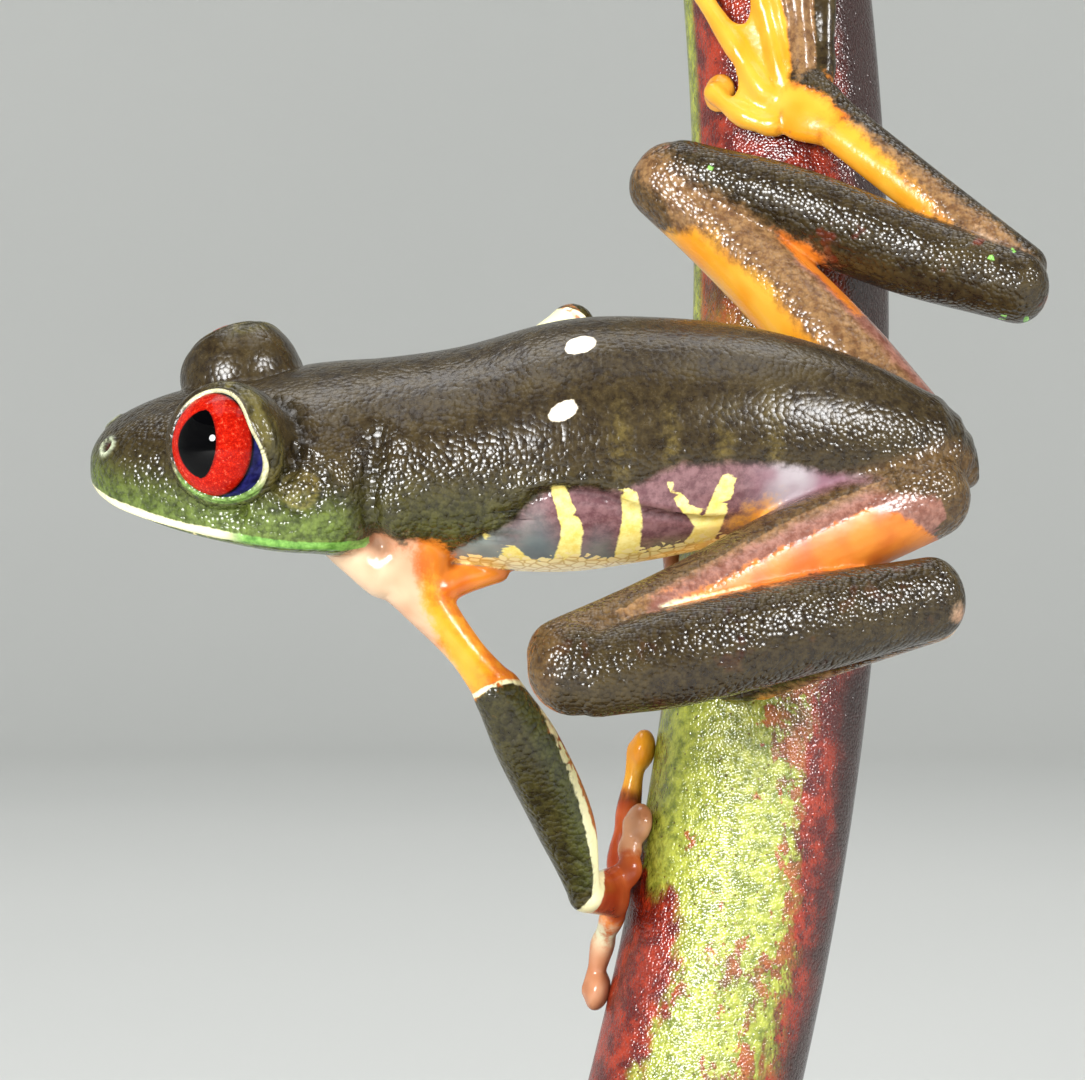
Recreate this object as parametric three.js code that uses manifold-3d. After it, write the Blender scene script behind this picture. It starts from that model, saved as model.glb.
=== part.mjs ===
// Red-eyed tree frog, life size, gripping a cut length of plant stem that stands on a display base.
// Millimetres, +Z up. The origin is the centre of the base's underside.
// Every flesh part is a loft: oval sections carried along a smooth line through the joints.
import * as THREE from "three";
import { LoftGeometry } from "three/addons/geometries/LoftGeometry.js";
import { mergeVertices } from "three/addons/utils/BufferGeometryUtils.js";
import Module from "manifold-3d";

const wasm = await Module();
wasm.setup();

// ---- Driving dimensions ----

const GAP = 0.3; // between neighbouring pieces
const SEAM = 0.2; // thin cuts round the eyes, the ear drums and the mouth
const STAGE = new THREE.Vector3(-9, -9, 64); // where the posing frame sits above the base
const ROLL = THREE.MathUtils.degToRad(23); // the back leans this far towards -Y
const SPINE_HEIGHT = 6.5; // of the body axis, in the posing frame

const EYE = { forward: 20.63, side: 6.23, up: 2.38, radius: 3.75, lid: 4.35, opening: 3.45 };
const EYE_AIM = { forward: 0.29, side: 0.92, up: 0.28 }; // the middle of the lids' opening
const EAR = { forward: 15.6, side: 9.0, up: 0.5, radius: 1.5 };
const NOSTRIL = { forward: 28.7, side: 2.9, up: 0.55, radius: 0.38 };
const MOUTH = { front: -2.9, slope: 0.065, corner: 15.2, snout: 30.5 };
const NECK = 11.2; // where head and trunk part

const STEM = { foot: -42, top: 54, radius: 7.2, taper: 0.009 };
const STEM_LINE = { x: 17.1, lean: 0.085, bow: -0.0021, y: 17.5, tilt: 0.13 };
const BASE = { radius: 36, height: 8, bevel: 1.2, socket: 5 };
const ROD = { radius: 2, intoStem: 9 };

// ---- Colours ----

const paint = (color, roughness = 0.45, metalness = 0) =>
  new THREE.MeshStandardMaterial({ color, roughness, metalness });
const SKIN = {
  back: paint(0x4a4222),
  throat: paint(0xe8e0b8),
  orange: paint(0xe88a1c),
  limb: paint(0x463c26),
  toe: paint(0xf0a030),
  eye: paint(0xc01810, 0.08),
  ear: paint(0x6a6a34),
};
const FITTINGS = {
  stem: paint(0x8a9a34, 0.35),
  base: paint(0x3a2416, 0.4),
  rod: paint(0xb89a50, 0.3, 1),
};

// ---- Small geometry helpers ----

const vec = (x, y, z) => new THREE.Vector3(x, y, z);

// The frog's own frame: forward to the snout, side to its left, up to its back.
function inBody(forward, side, up) {
  const c = Math.cos(ROLL);
  const s = Math.sin(ROLL);
  return vec(-forward, -side * c - up * s, SPINE_HEIGHT - side * s + up * c);
}

function bodyDirection(forward, side, up) {
  return inBody(forward, side, up).sub(inBody(0, 0, 0));
}

// A closed geometry as a manifold-3d solid: only positions are kept, and collapsed faces are dropped.
function solid(geometry) {
  const bare = new THREE.BufferGeometry();
  bare.setAttribute("position", geometry.getAttribute("position").clone());
  bare.setIndex(geometry.index);
  const merged = mergeVertices(bare, 1e-4);
  const all = merged.index.array;
  const kept = [];
  for (let i = 0; i < all.length; i += 3) {
    const [a, b, c] = [all[i], all[i + 1], all[i + 2]];
    if (a !== b && b !== c && a !== c) kept.push(a, b, c);
  }
  return new wasm.Manifold(
    new wasm.Mesh({
      numProp: 3,
      vertProperties: new Float32Array(merged.attributes.position.array),
      triVerts: new Uint32Array(kept),
    }),
  );
}

// A solid through rings of points. Rings that run the wrong way round are turned over.
function loft(rings) {
  const middle = (ring) => ring.reduce((sum, p) => sum.add(p), vec(0, 0, 0)).divideScalar(ring.length);
  const facing = rings[0].reduce(
    (sum, p, i, ring) => sum.add(p.clone().cross(ring[(i + 1) % ring.length])),
    vec(0, 0, 0),
  );
  const onward = middle(rings[1]).sub(middle(rings[0]));
  const sections = facing.dot(onward) < 0 ? rings.map((ring) => [...ring].reverse()) : rings;
  return solid(new LoftGeometry(sections, { capStart: true, capEnd: true }));
}

const largest = (made) =>
  made.decompose().reduce((best, one) => (one.volume() > best.volume() ? one : best));

const cutBy = (made, ...tools) => largest(tools.reduce((left, tool) => left.subtract(tool), made));

function ball(centre, radius, detail = 14) {
  const geometry = new THREE.SphereGeometry(radius, detail, Math.round(detail * 0.6));
  return solid(geometry.translate(centre.x, centre.y, centre.z));
}

// A cylinder or cone from one point to another.
function peg(from, to, radiusFrom, radiusTo = radiusFrom, sides = 14) {
  const axis = to.clone().sub(from);
  const geometry = new THREE.CylinderGeometry(radiusTo, radiusFrom, axis.length(), sides);
  const turn = new THREE.Quaternion().setFromUnitVectors(vec(0, 1, 0), axis.clone().normalize());
  const middle = from.clone().addScaledVector(axis, 0.5);
  return solid(geometry.applyQuaternion(turn).translate(middle.x, middle.y, middle.z));
}

// Uniform Catmull-Rom through plain numbers, at t from 0 to the last index.
function smooth(values, t) {
  const i = Math.min(Math.floor(t), values.length - 2);
  const f = t - i;
  const at = (k) => values[Math.max(0, Math.min(values.length - 1, k))];
  const [a, b, c, d] = [at(i - 1), at(i), at(i + 1), at(i + 2)];
  const slopeIn = (c - a) / 2;
  const slopeOut = (d - b) / 2;
  const f2 = f * f;
  const f3 = f2 * f;
  return (
    (2 * f3 - 3 * f2 + 1) * b + (f3 - 2 * f2 + f) * slopeIn +
    (3 * f2 - 2 * f3) * c + (f3 - f2) * slopeOut
  );
}

// Oval sections carried along the line through path, with round ends. wide and thick are half sizes at
// each point of the path, and face gives the direction of thick there. A blunt limb starts flat.
function limb({ path, wide, thick = wide, face, steps = 6, sides = 10, blunt = false }, grow = 0) {
  const line = new THREE.CatmullRomCurve3(path);
  const last = path.length - 1;
  const roundEnd = 0.95; // angle, in radians, of the ring on a round end
  const rings = [
    ...(blunt ? [] : [[0, -roundEnd]]),
    ...Array.from({ length: steps + 1 }, (_, i) => [(last * i) / steps, 0]),
    [last, roundEnd],
  ];
  const sections = rings.map(([t, a]) => {
    const w = smooth(wide, t) + grow;
    const h = smooth(thick, t) + grow;
    const along = line.getTangent(t / last);
    const centre = line.getPoint(t / last).addScaledVector(along, Math.sin(a) * Math.min(w, h));
    const wanted = typeof face === "function" ? face(centre) : face.clone();
    const up = wanted.addScaledVector(along, -wanted.dot(along)).normalize();
    const across = up.clone().cross(along);
    return Array.from({ length: sides }, (_, k) => {
      const turn = (2 * Math.PI * k) / sides;
      return centre
        .clone()
        .addScaledVector(across, Math.cos(a) * w * Math.cos(turn))
        .addScaledVector(up, Math.cos(a) * h * Math.sin(turn));
    });
  });
  return loft(sections);
}

// ---- The stem, and places on it ----

function stemAt(z) {
  return {
    centre: vec(STEM_LINE.x + STEM_LINE.lean * z + STEM_LINE.bow * z * z, STEM_LINE.y + STEM_LINE.tilt * z, z),
    radius: STEM.radius - STEM.taper * z,
  };
}

// A place on the stem: its height, its angle round from -Y towards -X, and how far it stands off.
function onStem(z, degrees, lift = 0) {
  const { centre, radius } = stemAt(z);
  const a = THREE.MathUtils.degToRad(degrees);
  const r = radius + lift;
  return centre.add(vec(-Math.sin(a) * r, -Math.cos(a) * r, 0));
}

const awayFromStem = (p) => {
  const out = p.clone().sub(stemAt(p.z).centre);
  return vec(out.x, out.y, 0).normalize();
};

function stemSolid(grow = 0) {
  const rings = 8;
  const sides = 20;
  const sections = Array.from({ length: rings + 1 }, (_, i) => {
    const z = STEM.foot + ((STEM.top - STEM.foot) * i) / rings;
    return Array.from({ length: sides }, (_, k) => onStem(z, (360 * k) / sides, grow));
  });
  return loft(sections);
}

// ---- Body ----

// Each row: forward, half width, top, bottom, height of the widest line, squareness of the section.
const BODY_ROWS = [
  [30.5, 0.8, -0.8, -2.3, -1.7, 2.0],
  [30.15, 2.1, 0.0, -2.6, -1.9, 2.1],
  [29.3, 3.5, 1.0, -3.1, -2.1, 2.3],
  [27.8, 5.0, 1.9, -3.7, -2.4, 2.5],
  [25.2, 6.7, 2.8, -4.4, -2.7, 2.5],
  [21.5, 8.4, 3.6, -5.1, -3.0, 2.3],
  [17.5, 9.5, 4.5, -5.7, -3.2, 2.2],
  [14.0, 9.6, 5.1, -6.2, -2.9, 2.1],
  [10.5, 8.9, 5.5, -7.0, -1.8, 2.0],
  [5.5, 8.8, 6.3, -8.1, -1.0, 2.0],
  [-1.5, 9.1, 8.3, -8.5, -0.6, 2.0],
  [-8.0, 8.7, 8.5, -7.5, -0.2, 2.0],
  [-14.5, 7.4, 7.8, -6.1, 0.1, 2.0],
  [-20.5, 5.8, 6.1, -5.2, -0.1, 2.0],
  [-25.0, 4.5, 4.0, -4.5, -0.5, 2.0],
  [-27.8, 3.2, 2.1, -3.7, -0.9, 2.0],
  [-29.4, 1.3, -0.3, -2.5, -1.4, 2.0],
];

function bodySolid(grow = 0, perRow = 1.2, sides = 22) {
  const last = BODY_ROWS.length - 1;
  const count = Math.round(last * perRow);
  const sections = Array.from({ length: count + 1 }, (_, i) => {
    const t = (last * i) / count;
    const [forward, width, top, bottom, widest, square] = BODY_ROWS[0].map((_, column) =>
      smooth(BODY_ROWS.map((row) => row[column]), t),
    );
    const reach = i === 0 ? grow : i === count ? -grow : 0;
    return Array.from({ length: sides }, (_, k) => {
      const a = (2 * Math.PI * k) / sides;
      const bent = (value) => Math.sign(value) * Math.abs(value) ** (2 / square);
      const height = Math.sin(a) > 0 ? top - widest : widest - bottom;
      return inBody(
        forward + reach,
        (width + grow) * bent(Math.cos(a)),
        widest + (height + grow) * bent(Math.sin(a)),
      );
    });
  });
  return loft(sections);
}

// A block in the frog's own frame, between two forward and two up values, as wide as the body.
function bodyBlock(rear, front, low, high, tilt = 0) {
  const half = 15;
  const geometry = new THREE.BoxGeometry(front - rear, 2 * half, high - low);
  geometry.translate((front + rear) / 2, 0, (low + high) / 2);
  const place = geometry.getAttribute("position");
  for (let i = 0; i < place.count; i++) {
    const forward = place.getX(i);
    const p = inBody(forward, place.getY(i), place.getZ(i) + tilt * (forward - MOUTH.snout));
    place.setXYZ(i, p.x, p.y, p.z);
  }
  return solid(geometry);
}

const SIDES = { left: 1, right: -1 };

const pieces = []; // [name, solid, material]
const put = (name, made, material) => pieces.push([name, made, material]);

const body = bodySolid();
const farBack = -40;
const farFront = 40;
const deep = -20;
const high = 20;

const jawBlock = (grow) =>
  bodyBlock(MOUTH.corner - grow, farFront, deep, MOUTH.front + grow, MOUTH.slope);

const trunk = body.intersect(bodyBlock(farBack, NECK - GAP / 2, deep, high));
const jaw = body.intersect(jawBlock(-SEAM / 2));
let head = body.intersect(bodyBlock(NECK + GAP / 2, farFront, deep, high)).subtract(jawBlock(SEAM / 2));

for (const [side, sign] of Object.entries(SIDES)) {
  const centre = inBody(EYE.forward, sign * EYE.side, EYE.up);
  const aim = bodyDirection(EYE_AIM.forward, sign * EYE_AIM.side, EYE_AIM.up).normalize();
  const front = centre.clone().addScaledVector(aim, EYE.lid * 1.4);
  const lids = ball(centre, EYE.lid).intersect(bodyBlock(NECK + 1, farFront, -1.5, high));
  head = head
    .add(lids)
    .subtract(ball(centre, EYE.radius + SEAM))
    .subtract(peg(centre, front, EYE.opening, EYE.opening * 1.1));
  put(`eye_${side}`, ball(centre, EYE.radius), SKIN.eye);

  const ear = inBody(EAR.forward, sign * EAR.side, EAR.up);
  const out = bodyDirection(-0.1, sign, 0.25).normalize();
  const drum = peg(ear.clone().addScaledVector(out, -0.8), ear.clone().addScaledVector(out, 2), EAR.radius);
  const seat = peg(
    ear.clone().addScaledVector(out, -1),
    ear.clone().addScaledVector(out, 2),
    EAR.radius + SEAM,
  );
  put(`ear_${side}`, largest(bodySolid(0.05).intersect(drum)), SKIN.ear);
  head = head.subtract(seat);
  head = head.subtract(ball(inBody(NOSTRIL.forward, sign * NOSTRIL.side, NOSTRIL.up), NOSTRIL.radius, 7));
}
put("head", largest(head), SKIN.back);
put("lower_jaw", largest(jaw), SKIN.throat);
put("trunk", largest(trunk), SKIN.back);

// ---- Limbs ----
// Joints are in the posing frame. Each limb piece is cut by the grown shape of the piece it grows from.

const towardsViewer = vec(0, -1, 0);
const stem = stemSolid();
const stemClear = stemSolid(GAP);

const LEG = {
  left: {
    hip: vec(25.8, -2.4, 3.1),
    thigh: [vec(17.2, -6.2, -0.6), vec(8.7, -10.2, -4.7)],
    knee: vec(1.3, -13.2, -7.6),
    shin: vec(3.3, -14.2, -8.6),
    shank: [vec(8.6, -13.2, -7.5), vec(18.8, -9.3, -5.2)],
    ankle: vec(25.8, -6.2, -3.8),
    heelCord: vec(26.0, -4.4, -4.9),
    heel: vec(14.6, 7.0, -9.4),
  },
  right: {
    hip: vec(25.5, 3.6, 6.9),
    thigh: [vec(20.2, 6.4, 13.2), vec(13.6, 10.6, 20.4)],
    knee: vec(8.4, 12.6, 25.1),
    shin: vec(9.9, 12.2, 25.6),
    shank: [vec(17.4, 9.6, 23.1), vec(25.4, 7.2, 19.8)],
    ankle: vec(32.7, 5.0, 17.3),
    heelCord: vec(33.0, 5.6, 18.6),
    heel: vec(20.8, 11.8, 29.2),
  },
};

const ARM = {
  left: {
    shoulder: vec(-9.6, -3.8, -0.4),
    upper: [vec(-7.9, -3.9, -3.8), vec(-5.2, -3.8, -7.3)],
    elbow: vec(-3.0, -3.2, -10.1),
    fore: [vec(-1.0, -1.6, -13.8), vec(1.55, 2.2, -19.4)],
    wrist: vec(2.9, 4.6, -24.3),
  },
  right: {
    shoulder: vec(-8.4, 7.6, 5.6),
    upper: [vec(-5.6, 9.0, 8.6), vec(-1.4, 10.5, 12.8)],
    elbow: vec(2.0, 11.2, 15.0),
    fore: [vec(3.4, 13.2, 11.8), vec(4.9, 16.0, 7.4)],
    wrist: vec(6.2, 18.4, 3.9),
  },
};

// Toes and fingers, inner to outer: where each one's knuckle, middle and pad lie on the stem,
// as [height, degrees round].
const TOES = {
  left: [
    [[-6.2, 24], [-4.9, 33], [-3.6, 43]],
    [[-6.5, 42], [-4.9, 60], [-3.4, 82]],
    [[-7.5, 47], [-6.4, 78], [-5.7, 112]],
    [[-8.9, 47], [-8.6, 92], [-8.4, 142]],
    [[-9.9, 38], [-10.4, 62], [-10.2, 94]],
  ],
  right: [
    [[29.4, 9], [30.1, 26], [31.9, 42]],
    [[31.8, 14], [35.6, 30], [40.4, 52]],
    [[33.0, 5], [38.6, 12], [44.6, 24]],
    [[33.4, -5], [40.4, -5], [49.0, 0]],
    [[32.6, -15], [38.0, -20], [43.6, -28]],
  ],
};
const FINGERS = {
  left: [
    [[-23.2, 66], [-21.7, 70], [-20.0, 71]],
    [[-22.8, 86], [-19.0, 98], [-15.0, 96]],
    [[-24.8, 92], [-24.2, 122], [-23.2, 152]],
    [[-26.4, 76], [-28.8, 88], [-31.9, 94]],
  ],
  right: [
    [[5.0, 88], [6.8, 79], [8.6, 70]],
    [[4.7, 104], [7.2, 118], [9.8, 132]],
    [[3.2, 110], [3.0, 136], [2.8, 166]],
    [[1.8, 100], [0.0, 110], [-2.0, 120]],
  ],
};
const SOLES = { left: [-8.2, 30], right: [31.4, 3] };
const PALMS = { left: [-24.7, 72], right: [3.2, 96] };

const WEB_THICK = 0.5;
const TOE = { thick: 0.8, pad: 1.4, padThick: 0.6, lift: 1.25, web: 0.84, webCurve: 0.9 };
const FINGER = { thick: 0.85, pad: 1.5, padThick: 0.88, lift: 1.25, web: 0.64, webCurve: 0.9 };

// A place t of the way along a digit: 0 at the palm, 1 at the knuckle, 2 at the middle and 3 at the pad.
function alongDigit(palm, places, t) {
  return [0, 1].map((k) => smooth([palm, ...places].map((place) => place[k]), t));
}

// A toe or finger from the edge of a palm to its pad, which is wide and flat against the stem.
function digit(palm, places, size) {
  const t = size.thick;
  return {
    path: [0.85, 1.35, 1.85, 2.3, 2.7, 3].map((at) => onStem(...alongDigit(palm, places, at), size.lift)),
    wide: [t * 1.1, t * 1.05, t, t, t * 0.95, size.pad],
    thick: [t, t, t, t * 0.9, t * 0.8, size.padThick],
    face: awayFromStem,
    steps: 5,
    sides: 6,
    blunt: true,
  };
}

// The skin between two neighbouring digits, out to size.web of their length, with a hollow free edge.
function webBetween(palm, one, other, size) {
  const rows = 2;
  const columns = 3;
  const start = 0.8;
  const sections = Array.from({ length: columns + 1 }, (_, column) => {
    const v = column / columns;
    const end = 3 * size.web * (1 - size.webCurve * v * (1 - v));
    const strip = (lift) =>
      Array.from({ length: rows + 1 }, (_, row) => {
        const t = start + ((end - start) * row) / rows;
        const [a, b] = [alongDigit(palm, one, t), alongDigit(palm, other, t)];
        return onStem(a[0] + (b[0] - a[0]) * v, a[1] + (b[1] - a[1]) * v, lift);
      });
    return [...strip(size.lift + WEB_THICK / 2), ...strip(size.lift - WEB_THICK / 2).reverse()];
  });
  return loft(sections);
}

// All the digits of one hand or foot. Each carries the web to the next one.
function digits(palm, all, size, cutters) {
  const shapes = all.map((places) => digit(palm, places, size));
  const grown = shapes.map((shape) => limb(shape, GAP));
  return shapes.map((shape, i) => {
    let made = limb(shape);
    if (i < all.length - 1) {
      const others = grown.filter((_, j) => j !== i);
      const web = webBetween(palm, all[i], all[i + 1], size);
      made = made.add(others.reduce((left, other) => left.subtract(other), web));
    }
    return cutBy(made, ...grown.slice(0, i), ...cutters);
  });
}

for (const [side, sign] of Object.entries(SIDES)) {
  const leg = LEG[side];
  const outward = bodyDirection(0, sign, 0.4).normalize();

  const thighShape = {
    path: [leg.hip, ...leg.thigh, leg.knee],
    wide: [3.1, 3.2, 2.9, 2.6],
    thick: [2.8, 3.0, 2.7, 2.3],
    face: outward,
  };
  const shankShape = {
    path: [leg.shin, ...leg.shank, leg.ankle],
    wide: [2.8, 3.25, 3.15, 2.75],
    thick: [2.3, 2.6, 2.5, 2.1],
    face: outward,
  };
  const tarsusShape = {
    path: [leg.heelCord, leg.heelCord.clone().lerp(leg.heel, 0.5), leg.heel],
    wide: [1.9, 1.85, 1.9],
    thick: [1.6, 1.45, 1.2],
    face: vec(0.3, -0.9, 0),
    steps: 5,
    sides: 8,
  };
  const soleCentre = onStem(...SOLES[side], GAP + 1.0);
  const footShape = {
    path: [leg.heel, leg.heel.clone().lerp(soleCentre, 0.5), soleCentre],
    wide: [1.9, 2.5, 2.4],
    thick: [1.2, 1.1, 0.8],
    face: awayFromStem,
    steps: 5,
    sides: 8,
  };

  put(`thigh_${side}`, cutBy(limb(thighShape), bodySolid(GAP)), SKIN.orange);
  put(`shank_${side}`, cutBy(limb(shankShape), limb(thighShape, GAP), stemClear), SKIN.limb);
  const tarsus = cutBy(limb(tarsusShape), limb(shankShape, GAP), limb(thighShape, GAP), stemClear);
  put(`tarsus_${side}`, tarsus, SKIN.limb);
  put(`foot_${side}`, cutBy(limb(footShape), limb(tarsusShape, GAP), stemClear), SKIN.orange);
  digits(SOLES[side], TOES[side], TOE, [limb(footShape, GAP), stemClear]).forEach((toe, i) => {
    put(`toe_${side}_${i + 1}`, toe, SKIN.toe);
  });

  const arm = ARM[side];
  const upperShape = {
    path: [arm.shoulder, ...arm.upper, arm.elbow],
    wide: [3.6, 1.9, 1.25, 1.5],
    thick: [2.4, 1.7, 1.25, 1.4],
    face: towardsViewer,
    sides: 8,
  };
  const foreShape = {
    path: [arm.elbow, ...arm.fore, arm.wrist],
    wide: [1.7, 2.2, 2.05, 1.15],
    thick: [1.6, 1.9, 1.7, 1.1],
    face: towardsViewer,
    sides: 8,
  };
  const palmCentre = onStem(...PALMS[side], GAP + 1.1);
  const handShape = {
    path: [arm.wrist, arm.wrist.clone().lerp(palmCentre, 0.55), palmCentre],
    wide: [1.3, 1.6, 1.9],
    thick: [1.2, 1.1, 0.9],
    face: awayFromStem,
    steps: 5,
    sides: 8,
  };
  put(`upper_arm_${side}`, cutBy(limb(upperShape), bodySolid(GAP)), SKIN.orange);
  put(`forearm_${side}`, cutBy(limb(foreShape), limb(upperShape, GAP), bodySolid(GAP)), SKIN.limb);
  put(`hand_${side}`, cutBy(limb(handShape), limb(foreShape, GAP), stemClear), SKIN.orange);
  const cutters = [limb(handShape, GAP), limb(foreShape, GAP), stemClear];
  digits(PALMS[side], FINGERS[side], FINGER, cutters).forEach((finger, i) => {
    put(`finger_${side}_${i + 1}`, finger, SKIN.toe);
  });
}

// ---- Perch and stand ----

const stemFoot = onStem(STEM.foot, 0).lerp(onStem(STEM.foot, 180), 0.5);
const baseTop = BASE.height - STAGE.z;
const rodFoot = vec(stemFoot.x, stemFoot.y, baseTop - BASE.socket);
const rodHead = vec(stemFoot.x, stemFoot.y, STEM.foot + ROD.intoStem);
const rodHole = peg(
  vec(stemFoot.x, stemFoot.y, baseTop - BASE.socket - GAP),
  vec(stemFoot.x, stemFoot.y, STEM.foot + ROD.intoStem + GAP),
  ROD.radius + GAP,
);
const baseProfile = [
  [0, 0],
  [BASE.radius - BASE.bevel / 2, 0],
  [BASE.radius, BASE.bevel / 2],
  [BASE.radius, BASE.height - BASE.bevel],
  [BASE.radius - BASE.bevel, BASE.height],
  [0, BASE.height],
].map(([r, z]) => new THREE.Vector2(r, z));
const baseDisc = new THREE.LatheGeometry(baseProfile, 32).rotateX(Math.PI / 2);
baseDisc.translate(-STAGE.x, -STAGE.y, -STAGE.z);

put("perch_stem", cutBy(stem, rodHole), FITTINGS.stem);
put("stand_rod", peg(rodFoot, rodHead, ROD.radius), FITTINGS.rod);
put("stand_base", cutBy(solid(baseDisc), rodHole), FITTINGS.base);

// ---- The model ----

function meshOf(name, made, material) {
  const { vertProperties, triVerts, numProp } = made.getMesh();
  const count = vertProperties.length / numProp;
  const place = new Float32Array(count * 3);
  for (let i = 0; i < count; i++) place.set(vertProperties.subarray(i * numProp, i * numProp + 3), i * 3);
  const geometry = new THREE.BufferGeometry();
  geometry.setAttribute("position", new THREE.BufferAttribute(place, 3));
  geometry.setIndex(new THREE.BufferAttribute(triVerts, 1));
  geometry.computeVertexNormals();
  const mesh = new THREE.Mesh(geometry, material);
  mesh.name = name;
  return mesh;
}

const frog = new THREE.Group();
for (const [name, made, material] of pieces) frog.add(meshOf(name, made, material));
frog.position.copy(STAGE);

const model = new THREE.Group();
model.add(frog);
export default model;
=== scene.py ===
import bmesh
import bpy
import numpy as np
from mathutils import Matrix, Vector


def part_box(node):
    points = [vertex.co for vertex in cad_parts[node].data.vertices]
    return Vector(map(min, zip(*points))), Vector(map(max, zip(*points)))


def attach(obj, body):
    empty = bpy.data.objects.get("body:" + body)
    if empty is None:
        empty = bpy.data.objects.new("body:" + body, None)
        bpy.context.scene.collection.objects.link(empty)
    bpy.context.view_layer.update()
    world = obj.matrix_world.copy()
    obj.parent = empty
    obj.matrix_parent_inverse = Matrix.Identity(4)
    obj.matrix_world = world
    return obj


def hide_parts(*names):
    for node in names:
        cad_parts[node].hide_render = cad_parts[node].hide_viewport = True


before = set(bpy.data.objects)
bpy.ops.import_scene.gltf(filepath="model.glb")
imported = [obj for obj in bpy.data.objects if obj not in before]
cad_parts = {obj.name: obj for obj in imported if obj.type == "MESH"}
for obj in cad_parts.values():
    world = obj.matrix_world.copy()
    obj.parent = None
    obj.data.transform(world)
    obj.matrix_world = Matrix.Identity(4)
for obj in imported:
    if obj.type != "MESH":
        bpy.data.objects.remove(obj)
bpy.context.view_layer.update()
print("frame:", len(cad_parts), "nodes")

# Shapes are worked out in millimetres, in the axes of the pose: the spine runs along x, the head is at -x
# and the frog's left side looks towards -y. toScene() moves them into the frame, in metres.
pose = {"roll": np.radians(23), "spineHeight": 6.5}
eye = {"forward": 20.63, "side": 6.23, "up": 2.38, "socket": 4.25}
sides = {"left": 1.0, "right": -1.0}


# The frog's own frame: forward to the snout, side to its left, up to its back.
def inBody(forward, side, up):
    c, s = np.cos(pose["roll"]), np.sin(pose["roll"])
    f, a, u = np.broadcast_arrays(np.asarray(forward, float), side, up)
    return np.stack([-f, -a * c - u * s, pose["spineHeight"] - a * s + u * c], -1)


def bodyDirection(forward, side, up):
    d = inBody(forward, side, up) - inBody(0, 0, 0)
    return d / np.linalg.norm(d, axis=-1, keepdims=True)


def toBody(p):  # the way back from inBody
    c, s = np.cos(pose["roll"]), np.sin(pose["roll"])
    y, z = p[..., 1], p[..., 2] - pose["spineHeight"]
    return -p[..., 0], -y * c - z * s, -y * s + z * c


def eyeBall(side):  # centre and radius of a CAD eye, in the frame, in millimetres
    low, high = (np.array(corner) * 1000 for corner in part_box("eye_" + side))
    return (low + high) / 2, (high - low).max() / 2


stage = eyeBall("left")[0] - inBody(eye["forward"], eye["side"], eye["up"])
eye["radius"] = eyeBall("left")[1]


def toScene(p):
    return (p + stage) / 1000


def rampUp(x, low, high):  # 0 below low, 1 above high, smooth between
    t = np.clip((x - low) / (high - low), 0, 1)
    return t * t * (3 - 2 * t)


def bump(x, width):  # a bell of height 1 at x = 0
    return np.exp(-((x / width) ** 2))


def unit(v):
    return v / np.maximum(np.linalg.norm(v, axis=-1, keepdims=True), 1e-9)


def hermite(f, start, end, slopeIn, slopeOut):
    return (
        (2 * f**3 - 3 * f**2 + 1) * start + (f**3 - 2 * f**2 + f) * slopeIn
        + (3 * f**2 - 2 * f**3) * end + (f**3 - f**2) * slopeOut
    )


def smoothRows(rows, t):  # uniform Catmull-Rom through the rows of a table, at t from 0 to the last row
    rows = np.asarray(rows, float)
    last = len(rows) - 1
    i = np.clip(np.floor(t).astype(int), 0, last - 1)
    f = (t - i).reshape((-1,) + (1,) * (rows.ndim - 1))
    a, b, c, d = (rows[np.clip(i + k, 0, last)] for k in (-1, 0, 1, 2))
    return hermite(f, b, c, (c - a) / 2, (d - b) / 2)


def alongPath(points, t):  # centripetal Catmull-Rom: knots stand the square root of their distance apart
    points = np.asarray(points, float)
    points = np.vstack([2 * points[0] - points[1], points, 2 * points[-1] - points[-2]])
    i = np.clip(np.floor(t).astype(int), 0, len(points) - 4)
    a, b, c, d = (points[i + k] for k in range(4))
    gap = lambda p, q: np.sqrt(np.linalg.norm(q - p, axis=-1, keepdims=True))
    ab, bc, cd = gap(a, b), gap(b, c), gap(c, d)
    slopeIn = ((b - a) / ab - (c - a) / (ab + bc) + (c - b) / bc) * bc
    slopeOut = ((c - b) / bc - (d - b) / (bc + cd) + (d - c) / cd) * bc
    return hermite((t - i)[:, None], b, c, slopeIn, slopeOut)


def gridQuads(rows, around):  # the faces between the neighbouring rows of a grid of rings
    i = np.arange(rows - 1)[:, None] * around
    k = np.arange(around)[None, :]
    n = (k + 1) % around
    return np.stack([i + k, i + n, i + around + n, i + around + k], -1).reshape(-1, 4)


# (rows, around, 3) points to a closed shell of triangles, with a fan at each end.
def closedLoft(sections):
    rows, around = sections.shape[:2]
    quads = gridQuads(rows, around)
    k = np.arange(around)
    n = (k + 1) % around
    top, first, last = (rows - 1) * around, rows * around, rows * around + 1
    fans = np.vstack([
        np.stack([n, k, np.full(around, first)], -1),
        np.stack([top + k, top + n, np.full(around, last)], -1),
    ])
    verts = np.vstack([sections.reshape(-1, 3), sections[0].mean(0), sections[-1].mean(0)])
    tris = np.vstack([quads[:, [0, 1, 2]], quads[:, [0, 2, 3]], fans])
    a, b, c = (verts[tris[:, j]] for j in range(3))
    if np.einsum("ij,ij->", a, np.cross(b, c)) < 0:  # the walls face in: turn every face over
        tris = tris[:, ::-1]
    return verts, tris


def joinShells(shells):
    verts = np.vstack([points for points, _ in shells])
    offsets = np.cumsum([0] + [len(points) for points, _ in shells[:-1]])
    return verts, np.vstack([tris + offset for (_, tris), offset in zip(shells, offsets)])


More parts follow.
